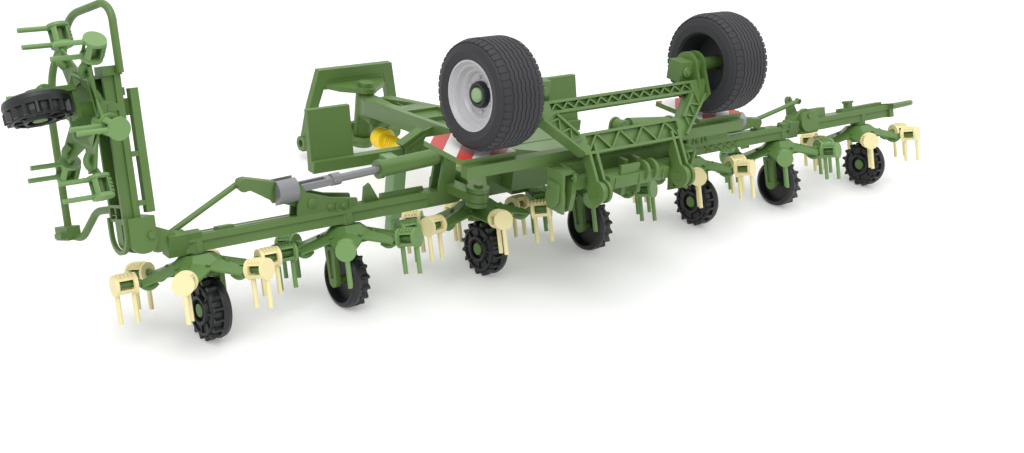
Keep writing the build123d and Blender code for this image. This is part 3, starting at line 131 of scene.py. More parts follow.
class Recipe:
    """A node material under construction."""

    def __init__(self, name: str) -> None:
        """Start from the plain shader and the Object coordinates.

        Args:
            name: The material's name.
        """
        self.material = bpy.data.materials.new(name)
        self.material.use_nodes = True
        self.nodes = self.material.node_tree.nodes
        self.join = self.material.node_tree.links.new
        self.shader = self.nodes["Principled BSDF"]
        self.place = self.nodes.new("ShaderNodeTexCoord")

    def set(self, **values: float | Colour) -> None:
        """Set plain values on the shader.

        Args:
            **values: Values by the socket's name, with underscores for spaces.
        """
        for name, value in values.items():
            self.shader.inputs[name.replace("_", " ")].default_value = value

    def noise(self, scale: float, detail: float = 2.0) -> bpy.types.NodeSocket:
        """Add a noise over the Object coordinates.

        Args:
            scale: Its scale.
            detail: Its number of finer layers.

        Returns:
            The noise's value.
        """
        noise = self.nodes.new("ShaderNodeTexNoise")
        noise.inputs["Scale"].default_value = scale
        noise.inputs["Detail"].default_value = detail
        self.join(self.place.outputs["Object"], noise.inputs["Vector"])
        return noise.outputs["Fac"]

    def compute(self, operation: str, source: bpy.types.NodeSocket,
                value: float = 0.0) -> bpy.types.NodeSocket:
        """Add a calculation on a value.

        Args:
            operation: Its kind.
            source: What it works on.
            value: Its second number.

        Returns:
            The outcome.
        """
        step = self.nodes.new("ShaderNodeMath")
        step.operation = operation
        step.inputs[1].default_value = value
        self.join(source, step.inputs[0])
        return step.outputs["Value"]

    def blend(self, factor: bpy.types.NodeSocket, first: Colour,
              second: Colour | bpy.types.NodeSocket) -> bpy.types.NodeSocket:
        """Mix two colours.

        Args:
            factor: Share of the second.
            first: The first colour.
            second: The second colour, or the output that gives it.

        Returns:
            The mixed colour.
        """
        mix = self.nodes.new("ShaderNodeMix")
        mix.data_type = "RGBA"
        mix.inputs["A"].default_value = first
        if isinstance(second, tuple):
            mix.inputs["B"].default_value = second
        else:
            self.join(second, mix.inputs["B"])
        self.join(factor, mix.inputs["Factor"])
        return mix.outputs["Result"]

    def bump(self, height: bpy.types.NodeSocket, strength: float,
             distance: float | None = None) -> None:
        """Let a value dent the surface.

        Args:
            height: The value.
            strength: How much it shows.
            distance: Its depth in metres, where it isn't Blender's own.
        """
        bump = self.nodes.new("ShaderNodeBump")
        bump.inputs["Strength"].default_value = strength
        if distance is not None:
            bump.inputs["Distance"].default_value = distance
        self.join(height, bump.inputs["Height"])
        self.join(bump.outputs["Normal"], self.shader.inputs["Normal"])


class Surface(Enum):
    """Kinds of moulded surface on the toy, each with its roughness and its specular level."""

    GLOSSY = (0.32, 0.5)
    SATIN = (0.42, 0.45)
    RUBBERY = (0.6, 0.35)
    BRIGHT = (0.3, 0.6)


@dataclass(frozen=True)
class PlasticFinish:
    """A moulded plastic with faint flow marks and a fine grain."""

    name: str
    colour: str
    surface: Surface = Surface.SATIN
    slot: str = "green"
    mottle: float = 0.06
    flow_scale: float = 55.0
    flow_detail: float = 3.0
    smoother: float = 0.05
    rougher: float = 0.07
    grain: float = 0.04
    grain_scale: float = 900.0
    grain_depth: float = 0.0002

    def material(self) -> bpy.types.Material:
        """Build the node material once and hand it out again later.

        Returns:
            The material of this finish.
        """
        known = bpy.data.materials.get(self.name)
        if known is not None:
            return known
        recipe = Recipe(self.name)
        roughness, specular = self.surface.value
        recipe.set(Metallic=0.0, Specular_IOR_Level=specular)
        flow = recipe.noise(self.flow_scale, self.flow_detail)
        tone = linear(self.colour)
        dark, light = (
            (tone[0] * share, tone[1] * share, tone[2] * share, 1.0)
            for share in (1.0 - self.mottle, 1.0 + self.mottle)
        )
        recipe.join(recipe.blend(flow, dark, light), recipe.shader.inputs["Base Color"])
        polish = recipe.nodes.new("ShaderNodeMapRange")
        polish.inputs["To Min"].default_value = roughness - self.smoother
        polish.inputs["To Max"].default_value = roughness + self.rougher
        recipe.join(flow, polish.inputs["Value"])
        recipe.join(polish.outputs["Result"], recipe.shader.inputs["Roughness"])
        recipe.bump(recipe.noise(self.grain_scale), self.grain, self.grain_depth)
        return recipe.material


@dataclass(frozen=True)
class StripedFinish:
    """Slanting red and white stripes on the warning boards' upper faces, with green edges."""

    name: str = "warning stripes"
    red: str = "#C9352C"
    white: str = "#EFEDEA"
    edge: str = "#5A7A3E"
    period: float = 0.0125
    slant: float = 45.0
    red_share: float = 0.5
    steepest: float = 0.7
    roughness: float = 0.38

    def material(self) -> bpy.types.Material:
        """Build the striped node material once.

        Returns:
            The striped material.
        """
        known = bpy.data.materials.get(self.name)
        if known is not None:
            return known
        recipe = Recipe(self.name)
        recipe.set(Roughness=self.roughness)
        turn = recipe.nodes.new("ShaderNodeMapping")
        turn.inputs["Rotation"].default_value = (0.0, 0.0, math.radians(self.slant))
        recipe.join(recipe.place.outputs["Object"], turn.inputs["Vector"])
        split = recipe.nodes.new("ShaderNodeSeparateXYZ")
        recipe.join(turn.outputs["Vector"], split.inputs["Vector"])
        stripe = recipe.compute("FRACT", recipe.compute("DIVIDE", split.outputs["X"], self.period))
        is_red = recipe.compute("GREATER_THAN", stripe, self.red_share)
        paint = recipe.blend(is_red, linear(self.white), linear(self.red))
        facing_up = recipe.nodes.new("ShaderNodeSeparateXYZ")
        recipe.join(recipe.place.outputs["Normal"], facing_up.inputs["Vector"])
        is_top = recipe.compute("GREATER_THAN", facing_up.outputs["Z"], self.steepest)
        coat = recipe.blend(is_top, linear(self.edge), paint)
        recipe.join(coat, recipe.shader.inputs["Base Color"])
        return recipe.material


BODY_GREEN = PlasticFinish("body green plastic", "#547238")
ROTOR_GREEN = PlasticFinish("rotor green plastic", "#56783C")
TINE_GREEN = PlasticFinish("tine green plastic", "#6A8D52", slot="tine_green")
TINE_CREAM = PlasticFinish("tine cream plastic", "#E6DAA6", slot="tine_cream", mottle=0.03)
WHEEL_BLACK = PlasticFinish("castor wheel black plastic", "#17191B", slot="wheel_black")
TYRE_BLACK = PlasticFinish("soft tyre black", "#2E2E32", Surface.RUBBERY, "tyre_black", mottle=0.1)
RIM_SILVER = PlasticFinish(
    "rim silver plastic", "#B4B3B6", Surface.BRIGHT, "rim_silver", mottle=0.02
)
ROD_GREY = PlasticFinish("rod grey plastic", "#7C7C80", Surface.BRIGHT, "rod_grey", mottle=0.04)
SHAFT_YELLOW = PlasticFinish(
    "guard yellow plastic", "#F2D01E", Surface.GLOSSY, "shaft_yellow", mottle=0.03
)
STAND_GREEN = PlasticFinish("stand pale green plastic", "#6F9062", slot="stand_green")
CAP_GREEN = PlasticFinish("cap pale green plastic", "#87A778")
STRIPES = StripedFinish()


class CadDress:
    """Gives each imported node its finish."""

    by_start = {"rotor_arms_": ROTOR_GREEN, "small_wheel_": WHEEL_BLACK}
    by_end = {
        "_warning_board": STRIPES,
        "_transport_tyre": TYRE_BLACK,
        "_transport_rim": RIM_SILVER,
        "_piston": ROD_GREY,
        "drive_shaft": SHAFT_YELLOW,
        "stand_leg": STAND_GREEN,
    }

    def finish_of(self, node: str) -> PlasticFinish | StripedFinish:
        """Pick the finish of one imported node.

        Args:
            node: The node's name.

        Returns:
            The finish that the node is moulded in.
        """
        if node.startswith("tines_"):
            return TINE_CREAM if node[-1] in CREAM_ROTORS else TINE_GREEN
        for start, finish in self.by_start.items():
            if node.startswith(start):
                return finish
        for end, finish in self.by_end.items():
            if node.endswith(end):
                return finish
        return BODY_GREEN

    def dress(self, nodes: dict[str, bpy.types.Object]) -> None:
        """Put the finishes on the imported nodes.

        Args:
            nodes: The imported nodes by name.
        """
        for name, node in nodes.items():
            node.data.materials.clear()
            node.data.materials.append(self.finish_of(name).material())
        log.info("dressed %d packed nodes", len(nodes))


def facing(origin: Vector, first: Vector, third: Vector) -> Matrix:
    """Make the matrix of a frame from its origin and two of its directions.

    Args:
        origin: The frame's origin in machine millimetres.
        first: Direction of its first axis.
        third: Direction of its third axis, square to the first.

    Returns:
        The frame's matrix.
    """
    turn = Matrix((first, third.cross(first), third)).transposed().to_4x4()
    return Matrix.Translation(origin) @ turn


def moved(x: float, y: float, z: float) -> Matrix:
    """Make a plain shift.

    Args:
        x: Shift along the first axis.
        y: Shift along the second axis.
        z: Shift along the third axis.

    Returns:
        The shift's matrix.
    """
    return Matrix.Translation(Vector((x, y, z)))


def turned_about(axis: str, degrees: float) -> Matrix:
    """Make a plain turn.

    Args:
        axis: Letter of the axis.
        degrees: Angle of the turn.

    Returns:
        The turn's matrix.
    """
    return Matrix.Rotation(math.radians(degrees), 4, axis)


class Moulding:
    """A trim mesh under construction, in machine millimetres."""

    def __init__(self) -> None:
        """Start with an empty mesh."""
        self.shape = bmesh.new()

    def rounded(self, edges: set[bmesh.types.BMEdge], width: float, steps: int) -> None:
        """Round some edges.

        Args:
            edges: The edges.
            width: Width of the rounding.
            steps: Its segments.
        """
        bmesh.ops.bevel(
            self.shape, geom=list(edges), offset=width, offset_type="OFFSET", segments=steps,
            profile=0.5, affect="EDGES", material=-1
        )

    def block(self, at: Matrix, size: Triple, bevel: float = 0.0, steps: int = 2) -> None:
        """Add a box with rounded edges.

        Args:
            at: Place and turn of its centre.
            size: Its three side lengths.
            bevel: Width of its rounded edges.
            steps: Segments of the rounding.
        """
        stretched = at @ Matrix.Diagonal((*size, 1.0))
        made = bmesh.ops.create_cube(self.shape, size=1.0, matrix=stretched)
        if bevel > 0.0:
            self.rounded({edge for vert in made["verts"] for edge in vert.link_edges}, bevel, steps)

    def rod(self, at: Matrix, radius: float, length: float, end_radius: float | None = None,
            segments: int = 24, bevel: float = 0.0) -> None:
        """Add a round bar or cone along the frame's third axis, from its origin.

        Args:
            at: Place and turn of its start.
            radius: Radius at the start.
            length: Its length.
            end_radius: Radius at the end, where it differs.
            segments: Sides of the circle.
            bevel: Width of the rounding at both rims.
        """
        made = bmesh.ops.create_cone(
            self.shape, cap_ends=True, cap_tris=False, segments=segments, radius1=radius,
            radius2=radius if end_radius is None else end_radius, depth=length,
            matrix=at @ moved(0, 0, length / 2)
        )
        if bevel > 0.0:
            caps = {
                face for vert in made["verts"] for face in vert.link_faces
                if len(face.verts) == segments
            }
            self.rounded({edge for face in caps for edge in face.edges}, bevel, 2)

    def turned(self, profile: tuple[Pair, ...], at: Matrix, steps: int = 48) -> list:
        """Add a closed outline turned about the frame's third axis.

        Args:
            profile: Pairs of distance along the axis and radius.
            at: Place and turn of the axis.
            steps: Segments of the full turn.

        Returns:
            The new vertices, still in the axis frame's order of angles.
        """
        known = set(self.shape.verts)
        points = [self.shape.verts.new((radius, 0.0, along)) for along, radius in profile]
        edges = [self.shape.edges.new((points[i - 1], points[i])) for i in range(len(points))]
        bmesh.ops.spin(
            self.shape, geom=points + edges, cent=(0, 0, 0), axis=(0, 0, 1), angle=math.tau,
            steps=steps, use_merge=True, use_duplicate=False
        )
        fresh = [vert for vert in self.shape.verts if vert not in known]
        bmesh.ops.remove_doubles(self.shape, verts=fresh, dist=MERGE_DISTANCE)
        fresh = [vert for vert in self.shape.verts if vert not in known]
        bmesh.ops.transform(self.shape, matrix=at, verts=fresh)
        return fresh

    def prism(self, frame: Matrix, outline: tuple[Pair, ...], low: float, high: float) -> None:
        """Add a plate of any outline in a frame's first plane.

        Args:
            frame: The frame.
            outline: Corners of the plate in the plane.
            low: Where it starts along the third axis.
            high: Where it ends.
        """
        corners = [self.shape.verts.new(frame @ Vector((x, y, low))) for x, y in outline]
        face = self.shape.faces.new(corners)
        grown = bmesh.ops.extrude_face_region(self.shape, geom=[face], use_keep_orig=True)
        lifted = [item for item in grown["geom"] if isinstance(item, bmesh.types.BMVert)]
        bmesh.ops.translate(self.shape, verts=lifted, vec=(frame.to_3x3() @ UP) * (high - low))

    def arc_rib(self, at: Matrix, radii: Pair, width: float, arc: Pair, steps: int) -> None:
        """Add a rib that runs part of the way round the frame's third axis.

        Args:
            at: Frame with its third axis along the axle.
            radii: Radius of the rib's foot and of its top.
            width: Its width along the axle.
            arc: Angle at which it starts and angle that it covers, in degrees.
            steps: Segments along it.
        """
        inner, outer = radii
        start, sweep = arc
        half, shoulder, chamfer = width / 2, outer - 0.12, 0.14
        turn = turned_about("Z", start)
        profile = (
            (inner, -half), (shoulder, -half), (outer, chamfer - half),
            (outer, half - chamfer), (shoulder, half), (inner, half)
        )
        corners = [
            self.shape.verts.new(turn @ Vector((radius, 0.0, along))) for radius, along in profile
        ]
        face = self.shape.faces.new(corners)
        known = set(self.shape.verts) - set(corners)
        bmesh.ops.spin(
            self.shape, geom=[face, *face.edges, *corners], cent=(0, 0, 0), axis=(0, 0, 1),
            angle=math.radians(sweep), steps=steps, use_duplicate=False
        )
        fresh = [vert for vert in self.shape.verts if vert not in known]
        bmesh.ops.transform(self.shape, matrix=at, verts=fresh)

    def bar(self, frame: Matrix, start: Pair, end: Pair, width: float, low: float,
            high: float) -> None:
        """Add a straight rib in a frame's first plane, standing along its third axis.

        Args:
            frame: The frame.
            start: One end in the plane.
            end: The other end.
            width: Its thickness in the plane.
            low: Its foot along the third axis.
            high: Its top along the third axis.
        """
        across, along = end[0] - start[0], end[1] - start[1]
        place = frame @ moved((start[0] + end[0]) / 2, (start[1] + end[1]) / 2, (low + high) / 2)
        turn = turned_about("Z", math.degrees(math.atan2(along, across)))
        self.block(place @ turn, (math.hypot(across, along), width, high - low))

    def to_mesh(self, name: str) -> bpy.types.Mesh:
        """Turn the work into a mesh in the row frame.

        Args:
            name: The mesh's name.

        Returns:
            The mesh.
        """
        to_row = Matrix.Scale(MM, 4) @ Matrix.Translation(-HITCH)
        bmesh.ops.transform(self.shape, verts=self.shape.verts, matrix=to_row)
        bmesh.ops.recalc_face_normals(self.shape, faces=self.shape.faces)
        mesh = bpy.data.meshes.new(name)
        self.shape.to_mesh(mesh)
        self.shape.free()
        return mesh

    def finish(self, name: str, finish: PlasticFinish, body: str, smooth: float = SMOOTH_ANGLE
               ) -> bpy.types.Object:
        """Turn the mesh into a dressed piece that rides on its body.

        Args:
            name: The piece's name.
            finish: What it is moulded in.
            body: The body it moves with.
            smooth: Largest angle between faces that shade as one.

        Returns:
            The finished object.
        """
        mesh = self.to_mesh(name)
        mesh.shade_smooth()
        mesh.set_sharp_from_angle(angle=math.radians(smooth))
        mesh.materials.append(finish.material())
        piece = stand(name, mesh)
        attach(piece, body)
        log.info("%s rides on %s", name, body)
        return piece


@dataclass
class SidedTrim:
    """Trim that is made once for each side of the machine."""

    side: int

    @property
    def word(self) -> str:
        """Name of the side."""
        return "right" if self.side > 0 else "left"


@dataclass
class BigWheelTrim(SidedTrim):
    """Tread, hub ring and cap of one transport wheel."""

    inner: float = 54.6
    width: float = 22.5
    axle_y: float = -40.7
    axle_z: float = 99.2
    crown: float = 22.3
    rib_count: int = 6
    rib_pitch: float = 2.12
    rib_width: float = 1.72
    rib_height: float = 0.28
    rib_root: float = 0.3
    wave: float = 0.26
    steps: int = 120
    block_count: int = 46
    block_edge: float = 2.9
    block_sink: float = 0.72
    block_slant: float = 19.0
    block_size: Triple = (0.9, 2.35, 3.4)
    ring_depth: float = 7.1
    boss_count: int = 6
    boss_circle: float = 6.9
    boss_start: float = 15.0
    ring_outline: tuple[Pair, ...] = (
        (0.0, 3.0), (0.0, 5.4), (1.6, 5.4), (2.7, 4.9), (2.7, 3.6), (2.2, 3.2), (2.2, 3.0)
    )
    cap_outline: tuple[Pair, ...] = (
        (1.8, 0.0), (1.8, 3.0), (3.0, 3.0), (3.5, 2.6), (3.8, 1.6), (3.9, 0.0)
    )
    cap_smooth: float = 60.0

    def axle(self) -> Matrix:
        """Frame on the wheel's inner face, its third axis outward along the axle."""
        inner_face = Vector((self.side * self.inner, self.axle_y, self.axle_z))
        return facing(inner_face, UP, self.side * RIGHT)

    def column(self, vert: bmesh.types.BMVert) -> int:
        """Number of the step round the axle that a vertex of the tread stands at."""
        return round(math.atan2(vert.co.y, vert.co.x) / math.tau * self.steps)

    def tread(self) -> None:
        """Raise the wavy ribs and the shoulder blocks."""
        shape = Moulding()
        foot, top = self.crown - self.rib_root, self.crown + self.rib_height
        shifts = (0.0, self.wave, 0.0, -self.wave)
        for rib in range(self.rib_count):
            centre = self.width / 2 + (rib - (self.rib_count - 1) / 2) * self.rib_pitch
            low, high = centre - self.rib_width / 2, centre + self.rib_width / 2
            profile = ((low, foot), (low + 0.05, top), (high - 0.05, top), (high, foot))
            fresh = shape.turned(profile, Matrix.Identity(4), self.steps)
            for index, shift in enumerate(shifts):
                chosen = [vert for vert in fresh if self.column(vert) % len(shifts) == index]
                bmesh.ops.translate(shape.shape, verts=chosen, vec=(0.0, 0.0, shift))
        bmesh.ops.transform(shape.shape, matrix=self.axle(), verts=shape.shape.verts)
        for along, slant in ((self.block_edge, self.block_slant),
                             (self.width - self.block_edge, -self.block_slant)):
            for block in range(self.block_count):
                around = self.axle() @ turned_about("Z", 360.0 / self.block_count * block)
                place = around @ moved(self.crown - self.block_sink, 0.0, along)
                shape.block(place @ turned_about("Y", slant), self.block_size, 0.2, 1)
        shape.finish(f"{self.word}_tread", TYRE_BLACK, f"{self.word}_transport_wheel")

    def hub(self) -> None:
        """Add the dark hub ring, the green cap and the rim's bosses."""
        wheel = f"{self.word}_transport_wheel"
        face = self.width - self.ring_depth
        seat = self.axle() @ moved(0.0, 0.0, face)
        ring = Moulding()
        ring.turned(self.ring_outline, seat)
        ring.finish(f"{self.word}_hub_ring", WHEEL_BLACK, wheel)
        cap = Moulding()
        cap.turned(self.cap_outline, seat)
        cap.finish(f"{self.word}_hub_cap", CAP_GREEN, wheel, self.cap_smooth)
        bosses = Moulding()
        for boss in range(self.boss_count):
            around = seat @ turned_about("Z", 360.0 / self.boss_count * boss + self.boss_start)
            bosses.rod(around @ moved(self.boss_circle, 0.0, 0.1), 0.8, 1.1, 0.6, 12)
        bosses.finish(f"{self.word}_rim_bosses", RIM_SILVER, wheel)

    def build(self) -> None:
        """Build all of the wheel's trim."""
        self.tread()
        self.hub()


@dataclass
class ChassisTrim:
    """Zigzag ribs, flanges and bosses of the transport chassis."""

    foot_y: float = -59.4
    foot_z: float = 73.4
    slope: float = 57.7
    half_depth: float = 2.4
    beam_half: float = 40.6
    beam_up: float = 21.75
    outer_flange: tuple[Pair, Pair] = ((29.6, 1.0), (47.4, 17.4))
    inner_flange: tuple[Pair, Pair] = ((30.6, 8.9), (39.6, 18.4))
    leg_hollow: tuple[Pair, Pair] = ((31.2, 5.4), (43.0, 17.2))
    flange_width: float = 1.1
    rib_width: float = 0.7
    beam_fold: float = 1.35
    beam_folds: int = 26
    leg_fold: float = 2.6
    leg_folds: int = 5
    arm_pivot: Triple = (41.6, -45.2, 98.2)
    arm_screw: Triple = (52.0, -42.4, 94.4)

    def plane(self) -> Matrix:
        """Frame of the chassis: across, up the slope, and square to it towards the rear.

        Returns:
            The frame's matrix.
        """
        angle = math.radians(self.slope)
        up = Vector((0.0, math.cos(angle), math.sin(angle)))
        return facing(Vector((0.0, self.foot_y, self.foot_z)), RIGHT, RIGHT.cross(up))

    def zigzag(self, shape: Moulding, start: Pair, end: Pair, half: float, count: int, low: float,
               high: float) -> None:
        """Fold a thin rib to and fro along a hollow.

        Args:
            shape: The mesh to add to.
            start: Middle of the hollow's first end.
            end: Middle of its other end.
            half: Half of the hollow's width.
            count: Number of folds.
            low: Foot of the rib along the frame's third axis.
            high: Its top.
        """
        ahead = Vector((end[0] - start[0], end[1] - start[1], 0.0))
        across = Vector((-ahead.y, ahead.x, 0.0)).normalized() * half
        places = []
        for fold in range(count + 1):
            middle = Vector((start[0], start[1], 0.0)) + ahead * (fold / count)
            places.append(middle + across * (1 if fold % 2 else -1))
        for first, second in zip(places, places[1:]):
            ends = ((first.x, first.y), (second.x, second.y))
            shape.bar(self.plane(), *ends, self.rib_width, low, high)

    def ribs(self) -> None:
        """Fold the ribs along the beam and the legs, and edge the legs with flanges."""
        shape = Moulding()
        top = self.half_depth
        beam_start, beam_end = (-self.beam_half, self.beam_up), (self.beam_half, self.beam_up)
        self.zigzag(shape, beam_start, beam_end, self.beam_fold, self.beam_folds, 0.5, top - 0.3)
        for side in SIDES:
            mirrored = [
                [(side * across, up) for across, up in ends]
                for ends in (self.outer_flange, self.inner_flange, self.leg_hollow)
            ]
            for start, end in mirrored[:2]:
                shape.bar(self.plane(), start, end, self.flange_width, top - 0.4, top + 1.6)
            self.zigzag(shape, *mirrored[2], self.leg_fold, self.leg_folds, top - 0.4, top + 1.1)
        shape.finish("chassis_ribs", BODY_GREEN, "chassis")

    def bosses(self) -> None:
        """Add the bosses at the arms' pivots and the screws beside them."""
        shape = Moulding()
        for side in SIDES:
            mirror = Matrix.Diagonal((side, 1.0, 1.0))
            out = side * RIGHT
            pivot = facing(mirror @ Vector(self.arm_pivot), out, -AHEAD)
            shape.rod(pivot, 2.6, 1.1, 2.2, 28, 0.2)
            shape.rod(pivot @ moved(0, 0, 1.0), 1.3, 0.7, 1.1, 20)
            shape.rod(facing(mirror @ Vector(self.arm_screw), -AHEAD, out), 1.5, 0.5, 1.3, 20)
        shape.finish("chassis_bosses", BODY_GREEN, "chassis")

    def build(self) -> None:
        """Build all of the chassis's trim."""
        self.ribs()
        self.bosses()


@dataclass
class FrameTrim:
    """Lugs, ribs and edges of the fixed frame and the drawbar."""

    box_place: Triple = (0.0, -62.6, 61.6)
    box_size: Triple = (35.0, 6.4, 5.6)
    tab_place: Triple = (-5.5, -64.4, 66.3)
    tab_size: Triple = (11.0, 1.4, 4.4)
    ear_starts: Pair = (3.2, 8.2)
    ear_radius: float = 4.6
    ear_width: float = 1.6
    box_ribs: Triple = (-14.0, 0.0, 14.0)
    plate_y: float = -55.2
    plate_lean: float = 7.0
    plate_size: Triple = (1.4, 10.4, 18.6)
    lug_radius: float = 3.9
    lug_width: float = 1.9
    bracket_y: float = 60.2
    bracket: tuple[Pair, ...] = (
        (18.0, 33.0), (32.0, 33.0), (32.6, 39.8), (23.2, 45.2), (14.6, 47.4)
    )
    bracket_flange: Pair = (-3.2, 1.9)
    bracket_screws: Pair = (28.4, 24.0)
    stand_x: float = -43.0
    stand_y: float = 50.0
    guard_rear: Triple = (0.0, 14.0, 30.2)
    guard_front: Triple = (0.0, 124.6, 17.5)
    guard_ribs: int = 5
    guard_bore: float = 2.4
    guard_collar: tuple[Pair, ...] = (
        (-5.6, 2.4), (-5.6, 5.3), (-5.0, 5.7), (-3.4, 5.7), (-2.9, 5.2), (-2.9, 2.4)
    )
    nose_window: tuple[Pair, ...] = (
        (0.0, 126.6), (-4.6, 110.0), (-4.9, 104.6), (-3.6, 103.2),
        (3.6, 103.2), (4.9, 104.6), (4.6, 110.0)
    )
    roof_window: tuple[Pair, ...] = ((-9.4, 90.6), (-15.4, 42.0), (15.4, 42.0), (9.4, 90.6))
    nose_floor: float = 35.6
    roof_floor: float = 42.6
    roof_ribs: tuple[Triple, ...] = ((76.5, 11.0, 44.9), (58.5, 13.2, 47.4))
    rib_foot: float = 42.0

    def cross_box(self) -> None:
        """Add the box below the chassis with its rounded ears and tab."""
        shape = Moulding()
        shape.block(moved(*self.box_place), self.box_size, 0.5)
        shape.block(moved(*self.tab_place), self.tab_size, 0.3)
        for start in self.ear_starts:
            ear = facing(Vector((start, -62.8, 63.6)), AHEAD, RIGHT)
            shape.rod(ear, self.ear_radius, self.ear_width, None, 36, 0.25)
        for rib in self.box_ribs:
            shape.block(moved(rib, -65.9, 61.6), (1.0, 0.8, 4.6), 0.15, 1)
        shape.finish("cross_box", BODY_GREEN, "frame")

    def side_lugs(self) -> None:
        """Add the leaning plate, the rounded lug and the screw beside each side plate."""
        shape = Moulding()
        for side in SIDES:
            out = side * RIGHT
            shape.block(moved(side * 35.6, self.plate_y, 66.9), (6.6, 9.6, 1.3), 0.3)
            lean = turned_about("Y", side * self.plate_lean)
            shape.block(moved(side * 37.6, self.plate_y, 58.2) @ lean, self.plate_size, 0.35)
            lug = facing(Vector((side * 37.9, -55.0, 55.4)), AHEAD, out)
            shape.rod(lug, self.lug_radius, self.lug_width, None, 36, 0.3)
            shape.block(moved(side * 38.7, -55.0, 58.9), (1.7, 7.6, 7.0), 0.3)
            screw = facing(Vector((side * 33.0, -60.3, 64.8)), AHEAD, out)
            shape.rod(screw, 1.9, 0.9, 1.7, 20, 0.12)
            shape.rod(screw @ moved(0, 0, 0.8), 0.85, 0.5, 0.7, 6)
        shape.finish("side_lugs", BODY_GREEN, "frame")

    def bar_brackets(self) -> None:
        """Add the gusseted brackets that carry the front bar on the drawbar, with their screws."""
        shape = Moulding()
        face = facing(Vector((0.0, self.bracket_y, 0.0)), RIGHT, -AHEAD)
        for side in SIDES:
            shape.prism(face, tuple((side * across, up) for across, up in self.bracket), 0.0, 1.3)
            shape.bar(face, (side * 34.4, 39.6), (side * 22.6, 45.7), 1.0, *self.bracket_flange)
            shape.bar(face, (side * 31.6, 37.6), (side * 20.9, 43.6), 0.8, *self.bracket_flange)
            for across in self.bracket_screws:
                shape.rod(face @ moved(side * across, 37.1, 1.2), 0.8, 0.7, 0.6, 16)
        shape.finish("front_bar_brackets", BODY_GREEN, "frame")

    def parking_stand(self) -> None:
        """Build the stand with its arm behind the front bar, in place of the plain one."""
        shape = Moulding()
        shape.block(moved(self.stand_x, self.stand_y, 4.6), (5.0, 5.0, 9.2), 0.3)
        shape.block(moved(self.stand_x, self.stand_y, 22.5), (7.0, 7.0, 29.0), 0.45)
        shape.block(moved(self.stand_x, self.stand_y + 5.2, 34.5), (6.8, 10.6, 4.8), 0.3)
        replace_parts(shape.finish("stand_moulding", STAND_GREEN, "frame"), "stand_leg")

    def shaft_collar(self) -> None:
        """Add the collar and the ribs of the drive shaft's guard."""
        shape = Moulding()
        rear, front = Vector(self.guard_rear), Vector(self.guard_front)
        nose = facing(front, RIGHT, (front - rear).normalized())
        shape.turned(self.guard_collar, nose, 48)
        for step in range(self.guard_ribs):
            start, top = -9.2 - 1.5 * step, 3.5 - 0.12 * step
            rib = (
                (start, self.guard_bore), (start + 0.15, top),
                (start + 0.75, top), (start + 0.9, self.guard_bore)
            )
            shape.turned(rib, nose, 36)
        shape.finish("shaft_guard_collar", SHAFT_YELLOW, "frame")

    def joined_copy(self, node: bpy.types.Object) -> bpy.types.Mesh:
        """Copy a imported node's mesh and join its loose triangles at their corners.

        Args:
            node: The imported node.

        Returns:
            The joined copy.
        """
        joined = bmesh.new()
        joined.from_mesh(node.data)
        bmesh.ops.remove_doubles(joined, verts=joined.verts, dist=MERGE_DISTANCE * MM)
        mesh = bpy.data.meshes.new("drawbar_shell")
        joined.to_mesh(mesh)
        joined.free()
        return mesh

    def drawbar_shell(self, nodes: dict[str, bpy.types.Object]) -> None:
        """Open the two windows in the drawbar's roof on a copy that stands for the plain one.

        Args:
            nodes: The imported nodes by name.
        """
        cutter = Moulding()
        cutter.prism(Matrix.Identity(4), self.nose_window, self.nose_floor, 60.0)
        cutter.prism(Matrix.Identity(4), self.roof_window, self.roof_floor, 70.0)
        cut = stand("window_cutter", cutter.to_mesh("window_cutter"))
        shell = stand("drawbar_shell", self.joined_copy(nodes["drawbar"]))
        carve = shell.modifiers.new("windows", "BOOLEAN")
        carve.operation = "DIFFERENCE"
        carve.solver = "EXACT"
        carve.object = cut
        seen = shell.evaluated_get(bpy.context.evaluated_depsgraph_get())
        mesh = bpy.data.meshes.new_from_object(seen)
        shell.modifiers.clear()
        shell.data = mesh
        bpy.data.objects.remove(cut)
        mesh.shade_smooth()
        mesh.set_sharp_from_angle(angle=math.radians(SMOOTH_ANGLE))
        mesh.materials.clear()
        mesh.materials.append(BODY_GREEN.material())
        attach(shell, "frame")
        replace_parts(shell, "drawbar")

    def window_ribs(self) -> None:
        """Stand the cross ribs in the roof's window and the two long ones in the nose's."""
        shape = Moulding()
        foot = self.rib_foot
        for place_y, half, top in self.roof_ribs:
            middle = moved(0.0, place_y, (foot + top) / 2)
            shape.block(middle, (2 * half, 1.0, top - foot), 0.15, 1)
        for place_x in (-2.2, 2.2):
            shape.block(moved(place_x, 110.0, 37.6), (0.8, 12.0, 4.4), 0.15, 1)
        shape.finish("drawbar_window_ribs", BODY_GREEN, "frame")

    def build(self, nodes: dict[str, bpy.types.Object]) -> None:
        """Build all of the fixed frame's trim.

        Args:
            nodes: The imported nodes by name.
        """
        self.cross_box()
        self.side_lugs()
        self.bar_brackets()
        self.parking_stand()
        self.shaft_collar()
        self.drawbar_shell(nodes)
        self.window_ribs()


def leaning_frame(x: float, along: float = 0.0, up: float = 0.0) -> Matrix:
    """Make a frame that leans as the rotors do, its third axis up the spindle.

    Args:
        x: Distance right of the middle plane.
        along: Distance forward, square to the spindles.
        up: Distance up along the spindles from the rotors' middle.

    Returns:
        The frame's matrix.
    """
    middle = facing(Vector((x, ROTOR_Y, ROTOR_Z)), RIGHT, Vector((0.0, LEAN_SIN, LEAN_COS)))
    return middle @ moved(0.0, along, up)


